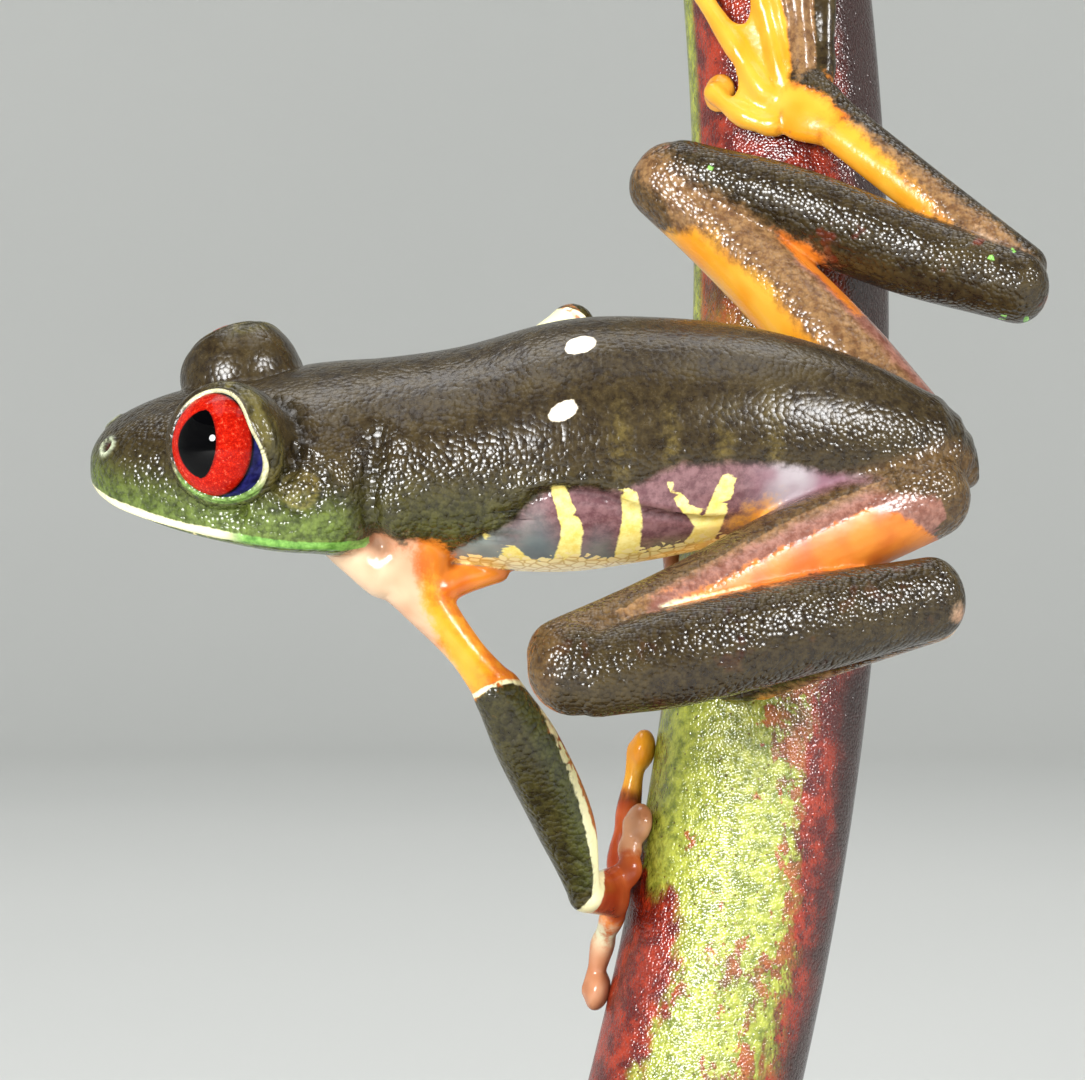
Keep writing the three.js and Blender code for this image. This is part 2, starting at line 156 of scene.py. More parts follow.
def newMesh(name, verts, faces):
    mesh = bpy.data.meshes.new(name)
    mesh.from_pydata([], [], [])
    mesh.vertices.add(len(verts))
    mesh.vertices.foreach_set("co", np.asarray(verts, np.float32).ravel())
    corners = faces.shape[1]
    mesh.loops.add(faces.size)
    mesh.loops.foreach_set("vertex_index", faces.astype(np.int32).ravel())
    mesh.polygons.add(len(faces))
    mesh.polygons.foreach_set("loop_start", np.arange(0, faces.size, corners, dtype=np.int32))
    mesh.update(calc_edges=True)
    mesh.validate()
    return mesh


def vertsOf(mesh):
    co = np.empty(len(mesh.vertices) * 3, np.float32)
    mesh.vertices.foreach_get("co", co)
    return co.reshape(-1, 3).astype(float)


def addObject(name, data):
    thing = bpy.data.objects.new(name, data)
    bpy.context.scene.collection.objects.link(thing)
    return thing


# A finished piece: smooth, riding on the root, with its finish, and drawn in place of the CAD nodes.
def addPiece(name, mesh, material, slot, *nodes):
    mesh.polygons.foreach_set("use_smooth", np.ones(len(mesh.polygons), bool))
    mesh.materials.append(material)
    piece = addObject(name, mesh)
    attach(piece, "root")
    if nodes:
        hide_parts(*nodes)
    return piece


# Limbs: oval sections carried along a line through the joints. wide and thick are half sizes at each point,
# face is the direction of thick. Rounded ends follow a quarter circle of the smaller half size.
def oval(path, wide, thick, face):
    return {"path": path, "wide": wide, "thick": thick, "face": face}


def limbLine(limb, t):
    last = len(limb["path"]) - 1
    centre = alongPath(limb["path"], t * last)
    ahead, behind = (alongPath(limb["path"], np.clip(t * last + step, 0, last)) for step in (0.02, -0.02))
    along = unit(ahead - behind)
    wide = smoothRows(limb["wide"], t * last)
    thick = smoothRows(limb["thick"], t * last)
    face = limb["face"](centre) if callable(limb["face"]) else np.broadcast_to(limb["face"], centre.shape)
    up = unit(face - along * np.sum(face * along, -1, keepdims=True))
    return centre, along, np.cross(up, along), up, wide, thick


def limbShell(limb, rows=40, around=28):
    ends = 5  # rings in each rounded end
    t = np.concatenate([np.zeros(ends), np.linspace(0, 1, rows), np.ones(ends)])
    bend = (1 - np.linspace(0.06, 1, ends + 1)[:ends]) * np.pi / 2
    tip = np.concatenate([-bend, np.zeros(rows), bend[::-1]])
    centre, along, across, up, wide, thick = limbLine(limb, t)
    centre = centre + along * (np.sin(tip) * np.minimum(wide, thick))[:, None]
    a = np.linspace(0, 2 * np.pi, around, endpoint=False)
    ring = across[:, None] * (wide[:, None] * np.cos(a))[..., None]
    ring = ring + up[:, None] * (thick[:, None] * np.sin(a))[..., None]
    return closedLoft(centre[:, None] + np.cos(tip)[:, None, None] * ring)


def blob(centre, radii, along, face):  # an ellipsoid: radii along its length, across it and through it
    along = unit(np.asarray(along, float))
    up = unit(face - along * np.dot(face, along))
    axes = np.stack([along, np.cross(up, along), up])
    polar = np.linspace(0.06, np.pi - 0.06, 14)[:, None]
    turn = np.linspace(0, 2 * np.pi, 24, endpoint=False)[None, :]
    ring = np.sin(polar) * np.cos(turn), np.sin(polar) * np.sin(turn)
    unitBall = np.stack([np.cos(polar) + 0 * turn, *ring], -1)
    return closedLoft(np.asarray(centre) + (unitBall * np.asarray(radii)) @ axes)


stem = {
    "foot": -42, "top": 54, "radius": 7.2, "taper": 0.009,
    "x": 17.1, "lean": 0.085, "bow": -0.0021, "y": 17.5, "tilt": 0.13,
}


def stemLine(z):  # centre and radius at a height
    x = stem["x"] + stem["lean"] * z + stem["bow"] * z**2
    return np.stack([x, stem["y"] + stem["tilt"] * z, z], -1), stem["radius"] - stem["taper"] * z


# A place on the stem: height, degrees round from -y towards -x, and distance off the surface.
def onStem(z, degrees, lift=0.0):
    z, a, lift = np.broadcast_arrays(np.asarray(z, float), np.radians(degrees), lift)
    centre, radius = stemLine(z)
    r = radius + lift
    return centre + np.stack([-np.sin(a) * r, -np.cos(a) * r, 0 * r], -1)


def awayFromStem(p):
    out = p - stemLine(p[..., 2])[0]
    return unit(out * [1, 1, 0])


# Body: each row is forward, half width, top, bottom, height of the widest line, squareness of the section.
bodyRows = [
    [30.5, 0.8, -0.8, -2.3, -1.7, 2.0],
    [30.15, 2.1, 0.0, -2.6, -1.9, 2.1],
    [29.3, 3.5, 1.0, -3.1, -2.1, 2.3],
    [27.8, 5.0, 1.9, -3.7, -2.4, 2.5],
    [25.2, 6.7, 2.8, -4.4, -2.7, 2.5],
    [21.5, 8.4, 3.6, -5.1, -3.0, 2.3],
    [17.5, 9.5, 4.5, -5.7, -3.2, 2.2],
    [14.0, 9.6, 5.1, -6.2, -2.9, 2.1],
    [10.5, 8.9, 5.5, -7.0, -1.8, 2.0],
    [5.5, 8.8, 6.3, -8.1, -1.0, 2.0],
    [-1.5, 9.1, 8.3, -8.5, -0.6, 2.0],
    [-8.0, 8.7, 8.5, -7.5, -0.2, 2.0],
    [-14.5, 7.4, 7.8, -6.1, 0.1, 2.0],
    [-20.5, 5.8, 6.1, -5.2, -0.1, 2.0],
    [-25.0, 4.5, 4.0, -4.5, -0.5, 2.0],
    [-27.8, 3.2, 2.1, -3.7, -0.9, 2.0],
    [-29.4, 1.3, -0.3, -2.5, -1.4, 2.0],
]


def bodyShell(rows=150, around=80):  # a superellipse for each row: cosine and sine raised to 2 / squareness
    t = np.linspace(0, len(bodyRows) - 1, rows)
    forward, wide, top, bottom, widest, square = smoothRows(bodyRows, t).T[:, :, None]
    a = np.linspace(0, 2 * np.pi, around, endpoint=False)[None, :]
    bent = lambda v: np.sign(v) * np.abs(v) ** (2 / square)
    height = np.where(np.sin(a) > 0, top - widest, widest - bottom)
    return closedLoft(inBody(forward + 0 * a, wide * bent(np.cos(a)), widest + height * bent(np.sin(a))))


# The body's section at a place: half width, squareness, and the height from its widest line as 0 to 1.
def sectionAt(forward, up):
    rows = np.array(bodyRows)
    t = np.interp(-forward, -rows[:, 0], np.arange(len(rows)))
    _, wide, top, bottom, widest, square = smoothRows(bodyRows, t).T
    height = np.where(up > widest, top - widest, widest - bottom)
    return wide, square, np.abs(up - widest) / height


def bodyNear(verts):  # 1 on the body's own surface, more outside it
    f, s, u = toBody(verts)
    wide, square, over = sectionAt(f, u)
    return ((np.abs(s) / wide) ** square + over**square) ** (1 / square)


legs = {
    "left": {
        "thigh": [(25.8, -2.4, 3.1), (17.2, -6.2, -0.6), (8.7, -10.2, -4.7), (1.3, -13.2, -7.6)],
        "shank": [(3.3, -14.2, -8.6), (8.6, -13.2, -7.5), (18.8, -9.3, -5.2), (25.8, -6.2, -3.8)],
        "tarsus": [(26.0, -4.4, -4.9), (14.6, 7.0, -9.4)],
    },
    "right": {
        "thigh": [(25.5, 3.6, 6.9), (20.2, 6.4, 13.2), (13.6, 10.6, 20.4), (8.4, 12.6, 25.1)],
        "shank": [(9.9, 12.2, 25.6), (17.4, 9.6, 23.1), (25.4, 7.2, 19.8), (32.7, 5.0, 17.3)],
        "tarsus": [(33.0, 5.6, 18.6), (20.8, 11.8, 29.2)],
    },
}
arms = {
    "left": {
        "upper": [(-9.6, -3.8, -0.4), (-7.9, -3.9, -3.8), (-5.2, -3.8, -7.3), (-3.0, -3.2, -10.1)],
        "fore": [(-3.0, -3.2, -10.1), (-1.0, -1.6, -13.8), (1.55, 2.2, -19.4), (2.9, 4.6, -24.3)],
    },
    "right": {
        "upper": [(-8.4, 7.6, 5.6), (-5.6, 9.0, 8.6), (-1.4, 10.5, 12.8), (2.0, 11.2, 15.0)],
        "fore": [(2.0, 11.2, 15.0), (3.4, 13.2, 11.8), (4.9, 16.0, 7.4), (6.2, 18.4, 3.9)],
    },
}
# Toes and fingers, inner to outer: knuckle, middle and pad on the stem, as [height, degrees round].
toes = {
    "left": [
        [[-6.2, 24], [-4.9, 33], [-3.6, 43]],
        [[-6.5, 42], [-4.9, 60], [-3.4, 82]],
        [[-7.5, 47], [-6.4, 78], [-5.7, 112]],
        [[-8.9, 47], [-8.6, 92], [-8.4, 142]],
        [[-9.9, 38], [-10.4, 62], [-10.2, 94]],
    ],
    "right": [
        [[29.4, 9], [30.1, 26], [31.9, 42]],
        [[31.8, 14], [35.6, 30], [40.4, 52]],
        [[33.0, 5], [38.6, 12], [44.6, 24]],
        [[33.4, -5], [40.4, -5], [49.0, 0]],
        [[32.6, -15], [38.0, -20], [43.6, -28]],
    ],
}
fingers = {
    "left": [
        [[-23.2, 66], [-21.7, 70], [-20.0, 71]],
        [[-22.8, 86], [-19.0, 98], [-15.0, 96]],
        [[-24.8, 92], [-24.2, 122], [-23.2, 152]],
        [[-26.4, 76], [-28.8, 88], [-31.9, 94]],
    ],
    "right": [
        [[5.0, 88], [6.8, 79], [8.6, 70]],
        [[4.7, 104], [7.2, 118], [9.8, 132]],
        [[3.2, 110], [3.0, 136], [2.8, 166]],
        [[1.8, 100], [0.0, 110], [-2.0, 120]],
    ],
}
soles = {"left": [-8.2, 30], "right": [31.4, 3]}
palms = {"left": [-24.7, 72], "right": [3.2, 96]}
toeSize = {"thick": 0.8, "pad": 1.4, "padThick": 0.62, "lift": 1.25, "web": 0.84}
fingerSize = {"thick": 0.85, "pad": 1.5, "padThick": 0.92, "lift": 1.25, "web": 0.64}
webSize = {"thick": 0.55, "start": 0.5, "hollow": 0.9}


# Steps along a digit: 0 at the palm, 1 at the knuckle, 2 at the middle, 3 at the pad.
digitSteps = np.linspace(0.7, 3, 9)


def digitLine(palm, places, lift):
    at = smoothRows([palm] + places, digitSteps)
    return onStem(at[:, 0], at[:, 1], lift)


# Height, place and width of each swelling or waist along a digit.
swellings = [(0.16, 1.1, 0.25), (0.14, 1.95, 0.22), (-0.1, 1.55, 0.25), (-0.16, 2.5, 0.3)]


def digitShells(palm, places, size):  # a finger with swollen joints, and the disc at its tip
    path = digitLine(palm, places, size["lift"])
    swell = sum(height * bump(digitSteps - place, width) for height, place, width in swellings)
    half = size["thick"] * (1 + swell)
    face = awayFromStem(path[-1])
    inward = size["lift"] - size["padThick"] + 0.03  # the disc lies against the stem
    radii = [size["pad"], size["pad"] * 1.02, size["padThick"]]
    disc = blob(path[-1] - face * inward, radii, path[-1] - path[-2], face)
    return [limbShell(oval(path, half, half * 0.96, awayFromStem), 36, 18), disc]


def webShell(palm, one, other, size):  # a thin sheet between two digits, with a hollow free edge
    rows, columns = 14, 14
    v = np.linspace(0, 1, columns)[:, None]
    end = 3 * size["web"] * (1 - webSize["hollow"] * v * (1 - v))
    t = webSize["start"] + (end - webSize["start"]) * np.linspace(0, 1, rows)[None, :]
    a, b = (smoothRows([palm] + places, t.ravel()).reshape(columns, rows, 2) for places in (one, other))
    at = a + (b - a) * v[..., None]
    half = webSize["thick"] / 2
    low, high = (onStem(at[..., 0], at[..., 1], size["lift"] + side * half) for side in (-1, 1))
    return closedLoft(np.concatenate([high, low[:, ::-1]], 1))


def limbsOf(side):
    out = bodyDirection(0, sides[side], 0.4)
    front = np.array([0.0, -1.0, 0.0])
    leg, arm = legs[side], arms[side]
    hip, heel = np.array(leg["tarsus"])
    wrist = np.array(arm["fore"][-1])
    sole = onStem(*soles[side], 1.3)
    palm = onStem(*palms[side], 1.4)
    ankle = [hip, (hip + heel) / 2, heel]
    hand = [wrist, wrist + (palm - wrist) * 0.55, palm]
    return {
        "thigh": oval(leg["thigh"], [3.1, 3.2, 2.9, 2.6], [2.8, 3.0, 2.7, 2.3], out),
        "shank": oval(leg["shank"], [2.8, 3.25, 3.15, 2.75], [2.3, 2.6, 2.5, 2.1], out),
        "tarsus": oval(ankle, [1.9, 1.85, 1.9], [1.6, 1.45, 1.2], np.array([0.3, -0.9, 0])),
        "foot": oval([heel, (heel + sole) / 2, sole], [1.9, 2.5, 2.4], [1.2, 1.1, 0.8], awayFromStem),
        "upper": oval(arm["upper"], [3.6, 1.9, 1.25, 1.5], [2.4, 1.7, 1.25, 1.4], front),
        "fore": oval(arm["fore"], [1.7, 2.2, 2.05, 1.15], [1.6, 1.9, 1.7, 1.1], front),
        "hand": oval(hand, [1.3, 1.6, 1.9], [1.2, 1.1, 0.9], awayFromStem),
    }


def digitSets(side):
    return ("toe", soles[side], toes[side], toeSize), ("finger", palms[side], fingers[side], fingerSize)


limbs = {side: limbsOf(side) for side in sides}


# Skin folds between the parts: a path with its half sizes. The first runs from the arm to the flank, the
# second from the throat to the arm.
folds = {
    "left": [
        {"path": [(-7.0, -4.0, -3.3), (-5.4, -3.0, -2.7), (-3.0, -1.7, -2.1)], "size": [1.2, 1.0, 0.8]},
        {"path": [(-15.6, -3.2, 0.9), (-12.9, -3.6, -0.5), (-10.3, -3.8, -1.8)], "size": [0.9, 1.5, 2.2]},
    ],
    "right": [
        {"path": [(-9.5, 6.2, 3.2), (-7.2, 7.4, 5.0), (-4.6, 8.2, 5.6)], "size": [1.2, 1.4, 1.0]},
    ],
}
knees = {"left": [(2.1, -13.8, -8.2), (3.1, 3.1, 2.6)], "right": [(9.2, 12.3, 25.2), (2.9, 2.9, 2.5)]}


def foldLimb(fold):
    return oval(fold["path"], fold["size"], fold["size"], np.array([0.0, -1.0, 0.2]))


def fleshShells():
    shells = [bodyShell()]
    for side in sides:
        socket = [eye["socket"]] * 3
        shells.append(blob(eyeCentre(side), socket, bodyDirection(1, 0, 0), bodyDirection(0, 0, 1)))
        shells += [limbShell(limb) for limb in limbs[side].values()]
        shells += [limbShell(foldLimb(fold)) for fold in folds[side]]
        centre, radii = knees[side]
        shells.append(blob(centre, radii, np.array([1.0, 0, 0]), np.array([0.0, -1.0, 0.0])))
        for _, palm, digits, size in digitSets(side):
            for places in digits:
                shells += digitShells(palm, places, size)
            shells += [webShell(palm, one, other, size) for one, other in zip(digits, digits[1:])]
    return shells


# Voxel size in mm, share of the triangles kept, rounds of softening and of cutting finer, and how far a
# vertex goes in a round: everywhere, at the joints and round the eyes.
skinMesh = {
    "voxel": 0.2, "keep": 0.27, "softRounds": 26, "fineRounds": 2,
    "soft": 0.12, "jointSoft": 0.62, "eyeSoft": 0.5,
}


def modified(mesh, kind, **settings):  # the mesh after one modifier
    piece = addObject("shells", mesh)
    modifier = piece.modifiers.new("shape", kind)
    for key, value in settings.items():
        setattr(modifier, key, value)
    made = bpy.data.meshes.new_from_object(piece.evaluated_get(bpy.context.evaluated_depsgraph_get()))
    bpy.data.objects.remove(piece)
    return made


def edgesOf(mesh):
    pairs = np.empty(len(mesh.edges) * 2, np.int32)
    mesh.edges.foreach_get("vertices", pairs)
    return pairs.reshape(-1, 2)


# Each round moves a vertex by its share towards its neighbours' mean; every second one puts back some of
# the lost volume.
def relaxed(verts, edges, rounds, share):
    ends = np.concatenate([edges[:, 0], edges[:, 1]])
    others = np.concatenate([edges[:, 1], edges[:, 0]])
    count = np.bincount(ends, minlength=len(verts))[:, None]
    for k in range(rounds):
        sums = [np.bincount(ends, verts[others, axis], len(verts)) for axis in range(3)]
        sway = 1.0 if k % 2 == 0 else -0.6
        verts = verts + sway * share[:, None] * (np.stack(sums, -1) / count - verts)
    return verts


def jointSpots(side):  # where the skin runs softly from piece to piece: centre, radius, strength
    parts = limbs[side]
    start = lambda name: parts[name]["path"][0]
    end = lambda name: parts[name]["path"][-1]
    height, turn = soles[side]
    return [
        (start("thigh"), 4.6, 0.8), (end("thigh"), 3.4, 1.0), (end("shank"), 2.6, 0.8),
        (end("tarsus"), 2.2, 1.0), (start("upper"), 4.2, 1.0), (end("upper"), 2.0, 1.0),
        (end("fore"), 1.8, 0.9), (end("foot"), 2.8, 0.7), (end("hand"), 2.4, 0.7),
        (onStem(height + 5, turn - 16), 5.5, 0.5),
    ]


def softened(verts, edges):
    share = np.full(len(verts), skinMesh["soft"])
    for side in sides:
        for centre, radius, strength in jointSpots(side):
            away = np.linalg.norm(verts - np.asarray(centre), axis=1)
            fade = 1 - rampUp(away, 0.55 * radius, radius)
            share = np.maximum(share, skinMesh["jointSoft"] * strength * fade)
        bulge = np.linalg.norm(verts - eyeCentre(side), axis=1)
        share = np.maximum(share, skinMesh["eyeSoft"] * bump(bulge - 4.6, 0.9))
    return relaxed(verts, edges, skinMesh["softRounds"], share)


def eyeCentre(side):
    return inBody(eye["forward"], sides[side] * eye["side"], eye["up"])


# Lids: the opening is a wavy circle on the ball round the aim; e is the distance outside its edge, in mm.
lid = {
    "aim": (0.315, 0.892, 0.323), "open": 62.5, "waves": [(-2.1, 2.5), (2.9, 5.7), (3.9, 0.4)],
    "radius": 4.0, "inside": 3.2, "rim": 0.24, "bulge": 4.24,
}


# Distance from the ball's centre, direction, e, and the turn: 0 at the top and growing to the front.
def lidPlace(verts, side):
    d = verts - eyeCentre(side)
    r = np.linalg.norm(d, axis=-1)
    u = d / np.maximum(r, 1e-6)[..., None]
    a, b, c = lid["aim"]
    aim = bodyDirection(a, sides[side] * b, c)
    top = bodyDirection(0, 0, 1)
    top = unit(top - aim * (top @ aim))
    front = bodyDirection(1, 0, 0)
    front = unit(front - aim * (front @ aim) - top * (front @ top))
    turn = np.arctan2(u @ front, u @ top)
    waves = enumerate(lid["waves"], 1)
    edge = lid["open"] + sum(p * np.cos(k * turn) + q * np.sin(k * turn) for k, (p, q) in waves)
    e = (np.arccos(np.clip(u @ aim, -1, 1)) - np.radians(edge)) * lid["radius"]
    return r, u, e, turn


def finer(mesh, near, rounds):  # cuts the edges whose two ends lie where near(verts, round) is true
    bm = bmesh.new()
    bm.from_mesh(mesh)
    for k in range(rounds):
        bm.verts.ensure_lookup_table()
        bm.edges.ensure_lookup_table()
        co = np.array([v.co for v in bm.verts])
        chosen = near(co, k)
        pairs = np.array([[e.verts[0].index, e.verts[1].index] for e in bm.edges])
        picked = np.flatnonzero(chosen[pairs].all(1))
        bmesh.ops.subdivide_edges(bm, edges=[bm.edges[i] for i in picked], cuts=1, use_grid_fill=True)
        bmesh.ops.triangulate(bm, faces=[f for f in bm.faces if len(f.verts) > 3])
        bm.verts.index_update()
    bm.to_mesh(mesh)
    bm.free()
    return mesh


mouth = {"front": -2.9, "slope": 0.065, "snout": 30.5, "corner": 14.6}
ear = {"place": (15.9, 8.8, 0.25), "radius": 1.42}
nostril = (29.1, 2.2, 0.69)


def aboveMouth(f, u):
    return u - mouth["front"] - mouth["slope"] * (f - mouth["snout"])


def awayFrom(verts, place, sign):  # distance to a place given as forward, side and up
    return np.linalg.norm(verts - inBody(place[0], sign * place[1], place[2]), axis=1)


# Creases on the body's sides, through places given as forward and up. Each has its depth and half width in
# mm, a ridge beside it and how dark the painted shade along it is.
creases = {
    "neck": {
        "path": [(11.6, 4.2), (11.0, 2.9), (11.4, -0.4), (11.0, -3.2), (10.2, -5.4)],
        "depth": 0.75, "width": 0.75, "ridge": 0.35, "dark": 0.8,
    },
    "ear": {
        "path": [(17.6, 3.0), (16.2, 2.4), (14.6, 1.5), (13.5, 0.1), (12.9, -1.8)],
        "depth": 0.26, "width": 0.3, "ridge": 0.16, "dark": 0.7,
    },
    "jaw": {
        "path": [(14.8, -2.6), (13.4, -2.6), (12.4, -3.4)],
        "depth": 0.14, "width": 0.3, "ridge": 0.05, "dark": 0.3,
    },
    "flank": {
        "path": [
            (6.4, -5.1), (4.2, -3.5), (2.2, -2.3), (0.3, -0.1), (-3.1, 0.1), (-6.4, -1.2), (-10.4, -2.3),
            (-13.5, -2.7),
        ],
        "depth": 0.4, "width": 0.36, "ridge": 0.3, "dark": 0.8,
    },
}


def nearestOn(points, line):  # for each point: the number of the nearest one on the line, and its distance
    far = (points**2).sum(1)[:, None] - 2 * points @ line.T + (line**2).sum(1)[None, :]
    j = far.argmin(1)
    return j, np.sqrt(np.maximum(far[np.arange(len(points)), j], 0))


# Distance to a crease's line on the body, the height above it, and the part of its length.
def alongCrease(verts, path, sign):
    steps = 60
    forward, up = alongPath(np.array(path), np.linspace(0, len(path) - 1, steps)).T
    wide, square, over = sectionAt(forward, up)
    line = inBody(forward, sign * wide * np.maximum(1 - over**square, 0) ** (1 / square), up)
    j, away = nearestOn(verts, line)
    return away, toBody(verts)[2] - toBody(line)[2][j], j / (steps - 1)


def flatLine(at, path):  # distance in the plane to the line through path, and the part of its length
    steps = 90
    line = alongPath(np.array(path), np.linspace(0, len(path) - 1, steps))
    far = np.hypot(at[:, :1] - line[:, 0], at[:, 1:] - line[:, 1])
    return far.min(1), far.argmin(1) / (steps - 1)


def nearFace(verts, k):  # the regions that need fine folds
    f, _, u = toBody(verts)
    lidReach, holeReach = [(1.6, 0.9), (0.75, 0.42)][k]
    chosen = np.zeros(len(verts), bool)
    for side, sign in sides.items():
        r, _, e, _ = lidPlace(verts, side)
        chosen |= (np.abs(e) < lidReach) & (r < 5.2) & (r > 2.5)
        chosen |= awayFrom(verts, nostril, sign) < holeReach + 0.4
        if k == 0:
            chosen |= np.abs(awayFrom(verts, ear["place"], sign) - ear["radius"]) < 0.7
            for name in ("neck", "ear", "flank"):
                chosen |= alongCrease(verts, creases[name]["path"], sign)[0] < 0.9
    if k == 0:
        chosen |= (np.abs(aboveMouth(f, u)) < 0.9) & (f > mouth["corner"] - 1.5)
    return chosen


def sculpted(verts, normals):
    f, s, u = toBody(verts)
    v = aboveMouth(f, u)
    lip = 0.13 * bump(v - 0.42, 0.3) - 0.2 * bump(v, 0.14)
    lip -= 0.16 * rampUp(-v, 0.0, 0.25) * rampUp(v, -2.6, -1.2)
    push = rampUp(f, mouth["corner"] - 1.2, mouth["corner"] + 0.6) * lip  # along the normal, in mm
    rumple = np.sin(f * 2.3 + 1.4 * np.sin(u * 1.1)) * np.sin(u * 2.1 + np.sin(f * 0.9) + np.abs(s) * 0.9)
    push += 0.16 * rumple * rampUp(-f, 24.5, 27.5) * rampUp(-bodyNear(verts), -1.25, -1.1)
    for side, sign in sides.items():
        for crease in creases.values():
            away, over, part = alongCrease(verts, crease["path"], sign)
            wide = crease["width"]
            ends = rampUp(part, 0.0, 0.3) * rampUp(-part, -1.0, -0.8)
            push -= ends * crease["depth"] * bump(away, wide)
            push += ends * crease["ridge"] * bump(away - 2.1 * wide, wide) * rampUp(over, -0.3, 0.3)
        away = awayFrom(verts, ear["place"], sign)
        push += 0.1 * bump(away - 1.75, 0.22) - 0.24 * bump(away - ear["radius"], 0.2)
        push += -0.1 * rampUp(1.35 - away, 0, 0.5) + 0.1 * bump(away, 0.45)
        away = awayFrom(verts, nostril, sign)
        push += 0.16 * bump(away - 0.6, 0.22) - 0.7 * bump(away, 0.3)
        r, _, _, turn = lidPlace(verts, side)
        push -= 0.4 * bump(r - 4.75, 0.36) * rampUp(-np.sin(turn), -0.5, 0.3)
        push -= 0.22 * bump(awayFrom(verts, (26.0, 6.0, 0.3), sign), 1.6)  # the hollow before the eye
    verts = verts + normals * push[:, None]
    for side in sides:
        r, d, e, turn = lidPlace(verts, side)
        edge = eye["radius"] + lid["rim"]
        skin = edge + (lid["bulge"] - edge) * rampUp(e, 0.25, 1.1) - 0.07 * bump(e - 0.45, 0.13)
        target = lid["inside"] + (skin - lid["inside"]) * rampUp(e, -0.3, 0.0)
        hold = (1 - rampUp(e, 0.9, 1.9)) * (r < 5.6)
        verts = verts + d * ((target - r) * hold)[:, None]
    return verts


def normalsOf(mesh):
    mesh.update()
    n = np.empty(len(mesh.vertices) * 3, np.float32)
    mesh.vertices.foreach_get("normal", n)
    return n.reshape(-1, 3).astype(float)


def placeVerts(mesh, verts):
    mesh.vertices.foreach_set("co", verts.astype(np.float32).ravel())
    mesh.update()


def makeSkin():
    mesh = newMesh("shells", *joinShells(fleshShells()))
    mesh = modified(mesh, "REMESH", mode="VOXEL", voxel_size=skinMesh["voxel"])  # one closed skin round all
    placeVerts(mesh, softened(vertsOf(mesh), edgesOf(mesh)))
    mesh = modified(mesh, "DECIMATE", ratio=skinMesh["keep"])
    mesh = finer(mesh, nearFace, skinMesh["fineRounds"])
    placeVerts(mesh, sculpted(vertsOf(mesh), normalsOf(mesh)))
    print("skin triangles:", len(mesh.polygons))
    return mesh


def giveField(mesh, name, values):
    mesh.attributes.new(name, "FLOAT", "POINT").data.foreach_set("value", np.asarray(values, np.float32))


# Eyeballs: a sphere of turn and angle round the iris axis. The fields are millimetres inside the iris and
# the pupil, whose half width shrinks with height, so that it is pointed above and below.
iris = {"aim": (0.60, 0.74, 0.30), "radius": 65.0}
pupil = {
    "aim": (0.485, 0.806, 0.34), "lean": (-0.084, -0.416, 1.106),
    "front": 28.7, "rear": 20.5, "height": 36.3,
}


def mirrored(direction, sign):
    return bodyDirection(direction[0], sign * direction[1], direction[2])


def makeEye(side, material):
    sign = sides[side]
    radius = eye["radius"]
    axis = mirrored(iris["aim"], sign)
    top = unit(bodyDirection(0, 0, 1) - axis * (bodyDirection(0, 0, 1) @ axis))
    across = np.cross(top, axis)
    angle = np.linspace(0.004, np.pi - 0.004, 130)[:, None, None]
    turn = np.linspace(0, 2 * np.pi, 160, endpoint=False)[None, :, None]
    d = np.cos(angle) * axis + np.sin(angle) * (np.cos(turn) * top + np.sin(turn) * across)
    verts, faces = closedLoft(eyeCentre(side) + radius * d)
    d = unit(verts - eyeCentre(side))
    mesh = newMesh("eye_" + side, toScene(verts), faces)
    theta = np.arccos(np.clip(d @ axis, -1, 1))
    giveField(mesh, "iris", (np.radians(iris["radius"]) - theta) * radius)
    giveField(mesh, "spokeX", (d @ top) / np.maximum(np.sin(theta), 0.02))
    giveField(mesh, "spokeY", (d @ across) / np.maximum(np.sin(theta), 0.02))
    middle, up = mirrored(pupil["aim"], sign), mirrored(pupil["lean"], sign)
    up = unit(up - middle * (up @ middle))
    ahead = np.cross(up, middle) * sign
    ahead = ahead * np.sign(ahead @ bodyDirection(1, 0, 0))
    facing = np.maximum(d @ middle, 0.05)
    x, y = np.arctan2(d @ ahead, facing), np.arctan2(d @ up, facing)
    front, rear, height = (np.radians(pupil[k]) for k in ("front", "rear", "height"))
    reach = np.minimum(np.abs(y) / height, 1.0)
    limit = np.where(x > 0, front, rear) * (1 - reach**2) ** 0.54 - np.maximum(np.abs(y) - height, 0)
    giveField(mesh, "pupil", np.where(d @ middle > 0, (limit - np.abs(x)) * radius, -5))
    return addPiece("eyeball_" + side, mesh, material, "eye", "eye_" + side)


# Materials. A Wire is a value in a material; sums on it add Math nodes.
class Wire:
    def __init__(self, paint, socket):
        self.paint, self.socket = paint, socket

    def math(self, operation, *others):
        inputs = dict(enumerate((self,) + others))
        return self.paint.node("ShaderNodeMath", {"operation": operation}, inputs)

    def __add__(self, other):
        return self.math("ADD", other)

    def __sub__(self, other):
        return self.math("SUBTRACT", other)

    def __rsub__(self, other):
        return self.paint.node("ShaderNodeMath", {"operation": "SUBTRACT"}, {0: other, 1: self})

    def __mul__(self, other):
        return self.math("MULTIPLY", other)

    __radd__ = __add__
    __rmul__ = __mul__

    def between(self, low, high):  # 0 below low, 1 above high, smooth between
        settings = {"interpolation_type": "SMOOTHSTEP"}
        return self.paint.node("ShaderNodeMapRange", settings, {0: self, 1: low, 2: high, 3: 0.0, 4: 1.0})


